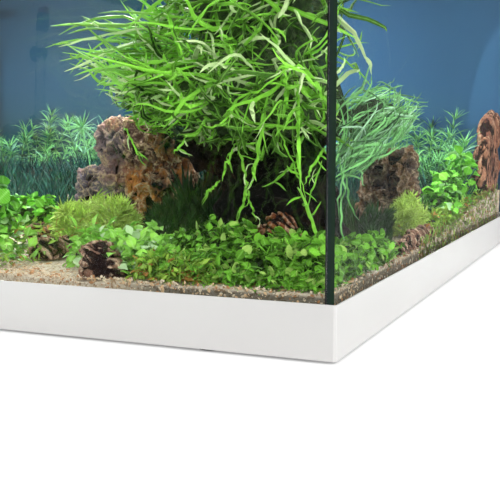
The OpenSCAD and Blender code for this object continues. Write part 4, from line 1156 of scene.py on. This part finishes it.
def make_fern():
    """Narrow forking blades that grow all over the head of the stump, and a few that hang below it."""
    rng = np.random.default_rng(11)
    blade = drawn_out([0.3, 0.75, 0.95, 1.0, 0.95, 0.9, 0.8, 0.55, 0.1], 0.35)
    tip = drawn_out([0.4, 0.95, 1.0, 0.9, 0.6, 0.1], 0.35)
    strap = drawn_out([0.3, 0.6, 0.8, 0.95, 1.0, 0.9, 1.0, 0.9, 1.0, 0.88, 0.9, 0.75, 0.6, 0.35, 0.1], 0.35)
    low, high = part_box("root_stump")
    middle = np.array(((low.x + high.x) / 2, (low.y + high.y) / 2, high.z))
    (_, front), (side, _) = room(FERN_GAP)
    blades, tips, side_blades = [], [], []

    def lay(blocks, pattern, line, width, tone):
        """Lay a blade along a line, kept clear of the two panes in front of it."""
        line[:, 0] = np.minimum(line[:, 0], side)
        line[:, 1] = np.maximum(line[:, 1], front)
        roll = rng.uniform(-1.2, 1.2)
        blocks.append((pattern, laid_along(pattern, line, width, width * 0.7, roll, rng), tone))

    def swaying(start, end, count, sway):
        """A line of points between two places, which wanders a little and meets both of them."""
        share = np.linspace(0, 1, count)[:, None]
        drift = np.cumsum(rng.normal(0, sway, (count, 3)), axis=0)
        return start + (end - start) * share + (drift - drift[-1] * share)

    def fork(line, width, tone, count):
        """Short curly tips that split off a blade, and show on its front side."""
        for _ in range(count):
            step = rng.integers(2, len(line) - 1)
            way = unit(line[step] - line[step - 1]) + rng.normal(0, 0.85, 3)
            child = grown(line[step], way, 0.012 * rng.uniform(0.5, 1.3), 0.2, rng, 5, 0.26)
            if child is not None:
                lay(tips, tip, child, width * rng.uniform(0.6, 0.95), min(1.0, tone + rng.uniform(-0.2, 0.3)))

    def head(count, shallow, depth, tones, thin, forks):
        """Curly blades that lie over one another all round the head, at a range of depths in it."""
        spots = surface_points("fern_clump", count, rng, depth, keep=lambda place: place[2] > 0.09,
                               shallow=shallow)
        for place, outwards in spots:
            hidden = outwards[0] < 0.1 and outwards[1] > 0.2
            if beside_pane(place[None])[0] or (hidden and rng.random() < 0.6):
                continue
            radial = unit((place - middle) * np.array((1, 1, 0.25)))
            way = 0.3 * outwards + 0.35 * radial + rng.normal(0, 0.55, 3) + np.array((-0.2, 0, -0.25))
            line = grown(place, way, rng.uniform(0.025, 0.06), rng.uniform(-0.2, 0.8), rng, 8, 0.17)
            if line is None:
                continue
            width, tone = thin + 0.0024 * rng.random() ** 1.5, rng.uniform(*tones)
            lay(blades, blade, line, width, tone)
            fork(line, width, tone, rng.integers(0, forks))

    # A tangle inside in dark tones, painted shade, and brighter blades outside
    head(900, 0.008, 0.016, (0.0, 0.22), 0.002, 2)
    head(1000, 0.0, 0.006, (0.3, 1.0), 0.0017, 4)
    # Long blades that stream to the left
    for _ in range(260):
        place = np.array((rng.uniform(0.235, 0.31), rng.uniform(-0.255, -0.13), rng.uniform(0.125, 0.19)))
        way = (-1.0, rng.normal(-0.1, 0.25), rng.normal(0.0, 0.2))
        line = grown(place, way, rng.uniform(0.05, 0.1), rng.uniform(-0.1, 0.4), rng, 8, 0.07)
        if line is not None:
            width, tone = rng.uniform(0.002, 0.0035), rng.uniform(0.25, 1.0)
            lay(blades, blade, line, width, tone)
            fork(line, width, tone, rng.integers(0, 2))
    # Thin blades that sweep to the right pane, up and to the back
    for _ in range(1700):
        place = np.array((rng.uniform(0.3, 0.385), rng.uniform(-0.29, -0.03), 0.0))
        place[2] = fern_floor(place[0], place[1]) + 0.003 + 0.075 * rng.random() ** 1.2
        way = (rng.uniform(0.1, 0.8), rng.uniform(0.3, 1.3), rng.uniform(0.1, 1.1))
        line = grown(place, way, rng.uniform(0.02, 0.055), rng.uniform(-0.3, 0.3), rng, 8, 0.085)
        if line is None:
            continue
        roof = fern_roof(line[:, 0], line[:, 1]) + 0.006 * rng.random()
        if np.all(beside_pane(line) & (line[:, 2] < roof)):
            lay(side_blades, blade, line, rng.uniform(0.001, 0.0021), rng.random())
    # Blades that hang free in front of the stump: where each starts and ends, and its width
    for x, z, end_x, end_z, width in (
            (0.356, 0.150, 0.358, 0.086, 0.0036), (0.358, 0.089, 0.375, 0.050, 0.0030),
            (0.336, 0.136, 0.325, 0.088, 0.0036), (0.326, 0.090, 0.316, 0.068, 0.0026),
            (0.315, 0.112, 0.307, 0.091, 0.0026), (0.308, 0.093, 0.294, 0.083, 0.0022),
            (0.318, 0.110, 0.323, 0.086, 0.0024), (0.323, 0.088, 0.329, 0.067, 0.0018),
            (0.359, 0.104, 0.333, 0.088, 0.0024), (0.343, 0.123, 0.361, 0.079, 0.0016),
            (0.374, 0.112, 0.360, 0.090, 0.0022), (0.286, 0.118, 0.273, 0.108, 0.0022),
            (0.240, 0.124, 0.251, 0.104, 0.0022), (0.372, 0.105, 0.362, 0.074, 0.0014)):
        line = swaying(np.array((x, -0.265, z)), np.array((end_x, -0.262, end_z)), 15, 0.0007)
        lay(blades, strap, line, width, rng.uniform(0.55, 1.0))
        for _ in range(3):
            step = rng.integers(2, 13)
            child = wander(line[step], rng.normal(0, 1, 3) + np.array((0, 0, -0.6)), 0.011, 0.3, rng, 5, 0.2)
            lay(tips, tip, child, width * 0.55, rng.uniform(0.5, 1.0))
    # Thin strands beside the right pane
    for y, z, end_y, end_z in ((-0.26, 0.105, -0.252, 0.08), (-0.253, 0.083, -0.246, 0.053),
                               (-0.245, 0.094, -0.213, 0.065), (-0.25, 0.11, -0.256, 0.07),
                               (-0.232, 0.1, -0.203, 0.087)):
        line = swaying(np.array((0.38, y, z)), np.array((0.38, end_y, end_z)), 9, 0.001)
        lay(side_blades, blade, line, 0.0016, rng.uniform(0.5, 1.0))

    plant("fern", "fern_clump", SKINS["fern_leaf"], blades, shrink=0.014, angle=60)
    # The fern's shade core, painted shade inside the head, is kept below the growth by the right pane
    for vertex in bpy.data.objects["fern_heart"].data.vertices:
        vertex.co.z = min(vertex.co.z, float(fern_roof(vertex.co.x, vertex.co.y)) - 0.012)
    for name, blocks, finish in (("fern_tips", tips, "fern_leaf"),
                                 ("fern_back", side_blades, "fern_side_leaf")):
        finish_piece(gathered(name, blocks), name, SKINS[finish], "tank", angle=60)


def pane_spots(back, count, rng):
    """Places against the right pane, from the frame up to the sand's surface, each facing the pane."""
    side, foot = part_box("right_pane")[0].x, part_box("base_rail_right")[1].z - 0.009
    places = []
    for _ in range(count):
        y = rng.uniform(*back)
        top = SAND_AT(side - 0.004, y) + 0.006
        z = top - (top - foot) * rng.random() ** 1.3
        places.append((np.array((side - 0.0012, y, z)), np.array((2.2, 0, -0.4)) + rng.normal(0, 0.25, 3)))
    return places


def make_low_plants():
    """The leafy plants near the sand: the corner's carpet, what grows between the rocks, and broad leaves."""
    rng = np.random.default_rng(21)
    disc = round_leaf()
    oval = folded_leaf([0.1, 0.5, 0.72, 0.62, 0.3, 0.02], 0.08, 0.2)
    slim = folded_leaf([0.1, 0.42, 0.34, 0.02], 0.06, 0.25)
    broad = folded_leaf([0.12, 0.72, 1.0, 0.95, 0.62, 0.12], 0.1, 0.22)

    # The corner: round leaves in the middle, pointed ones at its left end, small ones at its foot
    deep = surface_points("corner_carpet", 900, rng, 0.009, shallow=0.004)
    top = surface_points("corner_carpet", 1350, rng, 0.002,
                         keep=lambda place: place[2] < (0.06 if place[0] < 0.3 else 1.0))
    # The deep leaves take the darkest tones: painted shade inside the carpet
    blocks = leafy(disc, deep, rng, 0.0054, 0.5, 0.5, (0.0, 0.15))
    middle = [spot for spot in top if spot[0][0] > 0.31 + 0.02 * rng.random()]
    blocks += leafy(disc, middle, rng, 0.0052, 0.5, 0.55, (0.15, 1.0))
    left_end = [spot for spot in top if spot[0][0] <= 0.325]
    blocks += leafy(oval, left_end, rng, 0.0056, 0.35, 0.8, (0.1, 0.9))
    foot = sand_spots((0.31, 0.392), (-0.318, -0.29), 700, rng, 0.011)
    blocks += leafy(slim, foot, rng, 0.0046, 0.5, 0.7)
    foot = sand_spots((0.362, 0.393), (-0.3, -0.14), 650, rng, 0.012)
    blocks += leafy(slim, foot, rng, 0.0048, 0.5, 0.7, (0.0, 0.7))
    plant("round_leaf_carpet", "corner_carpet", SKINS["round_leaf"], blocks, shrink=0.007)

    # Between the rocks: mint-green leaves to the left, small yellow and red rosettes to the right
    spots = surface_points("ground_plants", 1100, rng, 0.004)
    mint = [spot for spot in spots if spot[0][0] < 0.3 and spot[0][1] < -0.2]
    others = [spot for spot in spots if spot[0][1] >= -0.2]
    # Each patch: how far it goes across and back, how many leaves it has, and how high they reach
    for across, back, count, tall in (((0.208, 0.262), (-0.285, -0.25), 380, 0.026),
                                      ((0.25, 0.28), (-0.306, -0.265), 320, 0.022),
                                      ((-0.1, 0.172), (-0.305, -0.24), 460, 0.02)):
        mint += sand_spots(across, back, count, rng, tall)
    for across, back, count, tall in (((0.272, 0.325), (-0.316, -0.27), 1450, 0.014),
                                      ((-0.1, 0.18), (-0.31, -0.285), 420, 0.01),
                                      ((0.1, 0.176), (-0.27, -0.2), 330, 0.022),
                                      ((0.366, 0.393), (-0.06, 0.26), 600, 0.012)):
        others += sand_spots(across, back, count, rng, tall)
    others += pane_spots((-0.1, 0.3), 1300, rng)
    blocks = leafy(slim, others, rng, 0.0052, 0.5, 0.8, (0.1, 1.0))
    plant("ground_cover", "ground_plants", SKINS["ground_leaf"], blocks)
    blocks = leafy(oval, mint, rng, 0.0072, 0.5, 0.55, (0.5, 1.0))
    finish_piece(gathered("mint_cover", blocks), "mint_cover", SKINS["mint_leaf"], "tank",
                 angle=50)

    # Broad leaves: dim ones inside each clump, painted shade, and brighter ones over them
    for name, node, size, dimmest in (("broad_leaves", "broad_leaf_plants", 0.0094, 0.2),
                                      ("left_leaves", "left_plants", 0.0118, 0.6)):
        inner = surface_points(node, 400, rng, 0.014, shallow=0.006)
        blocks = leafy(broad, inner, rng, size, 0.6, 0.5, (0.0, dimmest))
        outer = surface_points(node, 900, rng, 0.004)
        blocks += leafy(broad, outer, rng, size, 0.6, 0.45, (dimmest, 1.0))
        plant(name, node, SKINS["broad_leaf"], blocks, shrink=0.008)


def make_needle_plants():
    """Lime-green bushes of fine needles, and a dark tuft, with dark grass beside the stump that is painted
    shade in the gaps there.
    """
    rng = np.random.default_rng(31)
    needle = drawn_out([0.8, 1.0, 0.12], 0.8)
    bush_sprig = sprig(needle, 4, 8, 74, 0.075)
    # Sprigs deep in the bush take darker tones than those outside: painted shade
    inner = surface_points("fine_bushes", 80, rng, 0.008, shallow=0.004)
    blocks = bristly(bush_sprig, inner, rng, 0.014, 0.4, 0.4, (0.2, 0.5))
    outer = surface_points("fine_bushes", 250, rng, 0.002)
    blocks += bristly(bush_sprig, outer, rng, 0.0155, 0.35, 0.5, (0.7, 1.0))
    loose = surface_points("fine_bushes", 60, rng)
    blocks += bristly(bush_sprig, loose, rng, 0.022, 0.5, 0.4, (0.6, 1.0))
    plant("lime_bushes", "fine_bushes", SKINS["bush_leaf"], blocks, shrink=0.008, heart="bush_heart")

    tuft_sprig = sprig(needle, 4, 5, 30, 0.045)
    blocks = bristly(tuft_sprig, surface_points("dark_tuft", 130, rng, 0.003), rng, 0.016, 0.7)
    # Dark grass in the gaps beside the stump: a dark fill that is painted shade
    grass = sand_spots((0.218, 0.262), (-0.16, -0.08), 180, rng, 0.04)
    blocks += bristly(tuft_sprig, grass, rng, 0.05, 0.9)
    grass = sand_spots((0.27, 0.37), (-0.15, 0.12), 80, rng, 0.012)
    blocks += bristly(tuft_sprig, grass, rng, 0.034, 0.9)
    plant("dark_moss_tuft", "dark_tuft", SKINS["tuft_leaf"], blocks, shrink=0.004)


def make_meadow():
    """Low dark grass and small leaves on the open sand between the rocks and the rear stems."""
    rng = np.random.default_rng(51)
    straw = drawn_out([1.0, 1.0, 0.7, 0.1], 0.5)
    tuft = sprig(straw, 1, 9, 28, 0.05)
    blocks = []
    for _ in range(880):
        x = rng.uniform(-0.385, 0.385)
        y = rng.uniform(-0.03, 0.23)
        if x > 0.29 and y < 0.12:
            continue
        place = np.array((x, y, SAND_AT(x, y) - 0.003))
        size = rng.uniform(0.016, 0.066) * (0.7 + 0.7 * (y + 0.05) / 0.28)
        axes = facing((rng.normal(0, 0.12), rng.normal(0, 0.12), 1), rng.uniform(0, FULL_TURN))
        blocks.append((tuft, placed(tuft, place, axes, size), rng.random()))
    finish_piece(gathered("meadow", blocks), "meadow", SKINS["meadow_leaf"], "tank", angle=60)


def loose_parts(node):
    """The lowest and highest corner of each separate solid in a node."""
    piece = merged_copy(node)
    open_all(piece)
    bpy.ops.mesh.separate(type="LOOSE")
    close_up()
    parts = list(bpy.context.selected_objects)
    if piece not in parts:
        parts.append(piece)
    boxes = []
    for part in parts:
        points = np.array([v.co for v in part.data.vertices])
        boxes.append((points.min(0), points.max(0)))
        bpy.data.objects.remove(part)
    return sorted(boxes, key=lambda box: (round(box[0][0], 3), round(box[0][1], 3)))


STAR = np.array((-0.035, 0.1, 0.13))    # the middle of a bright whorl, in front of the stems


def make_stems():
    """Upright stems at the back with whorls of long thin needles, over a dark core that is painted shade
    among their lower parts.
    """
    rng = np.random.default_rng(41)
    needle = drawn_out([0.7, 1.0, 0.7, 0.1], 0.6)
    stalk = drawn_out([1.0, 1.0, 0.95, 0.9, 0.85, 0.8, 0.7], 1.0)
    blocks = []

    def laid(pattern, line, width, thickness):
        return laid_along(pattern, line, width, thickness, 0.0, rng)

    boxes = loose_parts("rear_stems")
    # Shorter stems in the right-hand corner at the back
    for x, y, tall in ((0.32, 0.16, 0.045), (0.336, 0.2, 0.055), (0.348, 0.18, 0.06), (0.355, 0.25, 0.075),
                       (0.364, 0.2, 0.08)):
        foot = np.array((x, y, SAND_AT(x, y)))
        boxes.append((foot, foot + np.array((0, 0, tall))))

    # The bright whorl and the stalk it stands on
    foot = np.array((STAR[0] + 0.006, STAR[1] + 0.02, SAND_AT(STAR[0], STAR[1]) - 0.003))
    line = foot + (STAR - foot) * np.linspace(0, 1, 7)[:, None]
    blocks.append((stalk, laid(stalk, line, 0.0018, 0.0018), 0.6))
    for _ in range(130):
        way = unit(rng.normal(0, 1, 3) + np.array((0, -0.5, 0)))
        blade = wander(STAR, way, rng.uniform(0.012, 0.024), 0.2, rng, 3, 0.05)
        blocks.append((needle, laid(needle, blade, 0.0014, 0.001), rng.uniform(0.4, 0.85)))

    # Four stems to each clump. Their needles get shorter, brighter and more upright towards the top
    segments, needles = 6, 8
    for low, high in boxes:
        middle = (low + high) / 2
        tall = (high[2] - low[2]) * (0.82 if low[0] > 0.28 else 1.0)
        whorls = max(5, int(tall / 0.011))
        for _ in range(4):
            foot = np.array((middle[0] + rng.uniform(-0.016, 0.016), middle[1] + rng.uniform(-0.016, 0.016),
                             low[2]))
            line = wander(foot, (rng.normal(0, 0.14), rng.normal(0, 0.14), 1), tall * rng.uniform(0.6, 1.02),
                          -0.2, rng, segments, 0.06)
            blocks.append((stalk, laid(stalk, line, 0.0018, 0.0018), rng.random()))
            stem_tone = rng.random()
            for whorl in range(1, whorls + 1):
                share = whorl / whorls
                step = min(segments - 1, int(share * segments))
                place = line[step] + (line[step + 1] - line[step]) * (share * segments - step)
                stem_way = unit(line[step + 1] - line[step])
                length = (0.024 - 0.004 * share) * rng.uniform(0.85, 1.15)
                tone = min(1.0, 0.5 * stem_tone + 0.6 * share * share)
                for turn in range(needles):
                    angle = 2 * math.pi * (turn + rng.uniform(-0.25, 0.25)) / needles + whorl * 0.35
                    level = np.array((math.cos(angle), math.sin(angle), 0))
                    way = level + stem_way * (0.2 + 1.0 * share * share)
                    blade = wander(place, way, length, rng.uniform(0.0, 0.6), rng, 3, 0.06)
                    blocks.append((needle, laid(needle, blade, 0.0017, 0.001), tone))
    plant("feathery_stems", "rear_stems", SKINS["stem_leaf"], blocks, shrink=0.011, angle=60,
          heart="stem_heart", height=0.5)


# ---------------------------------------------------------------- floor and light

FLOOR_SHINE = 0.26      # what the floor adds of its own, so that it comes out white
WORLD_LIGHT = 0.3       # what the white room gives the object


def seen_directly(tree):
    """1 for what is seen straight from the camera or through the glass, and 0 for the rest."""
    path = wire(tree, "LightPath").outputs
    return sums(tree, "MAXIMUM", path["Is Camera Ray"], path["Is Transmission Ray"])


def make_floor():
    """A white floor that keeps the tank's shadow."""
    put_down()
    bpy.ops.mesh.primitive_plane_add(size=12)
    floor = bpy.context.object
    floor.name = "floor"
    material, tree, shader = blank_material("studio_floor")
    feed(tree, shader, {"Base Color": (0.9, 0.9, 0.9, 1), "Roughness": 0.9})
    strength = sums(tree, "MULTIPLY", seen_directly(tree), FLOOR_SHINE)
    shine = wire(tree, "Emission", {"Color": (1, 1, 1, 1), "Strength": strength}).outputs[0]
    show_instead(tree, wire(tree, "AddShader", {0: shader.outputs[0], 1: shine}).outputs[0])
    floor.data.materials.append(material)


def make_light():
    """A white room, and two soft lamps in front of the tank and to its right."""
    world = bpy.data.worlds.new("studio")
    bpy.context.scene.world = world
    world.use_nodes = True
    tree = world.node_tree
    tree.nodes.clear()
    lit = wire(tree, "Background", {"Color": (0.97, 0.985, 1.0, 1), "Strength": WORLD_LIGHT}).outputs[0]
    white = wire(tree, "Background", {"Color": (1, 1, 1, 1), "Strength": 1.0}).outputs[0]
    shown = wire(tree, "MixShader", {0: seen_directly(tree), 1: lit, 2: white}).outputs[0]
    wire(tree, "OutputWorld", {0: shown})

    for name, place, aim, size, power in (
            ("key_light", (2.6, -0.6, 1.1), (0.3, 0, 0.05), 1.6, 40),
            ("fill_light", (1.1, -2.7, 1.5), (0.1, 0, 0.05), 1.5, 46)):
        data = bpy.data.lights.new(name, "AREA")
        data.size = size
        data.energy = power
        light = bpy.data.objects.new(name, data)
        bpy.context.scene.collection.objects.link(light)
        light.location = place
        light.rotation_euler = (Vector(aim) - Vector(place)).to_track_quat("-Z", "Y").to_euler()


make_camera()
SKINS = make_skins()
SAND_AT = sand_height()
make_tank()
make_hard_parts()
make_sand()
make_rocks()
make_chips()
make_fern()
make_low_plants()
make_needle_plants()
make_meadow()
make_stems()
make_floor()
make_light()
bpy.context.scene.view_settings.view_transform = "Standard"
bpy.context.view_layer.update()
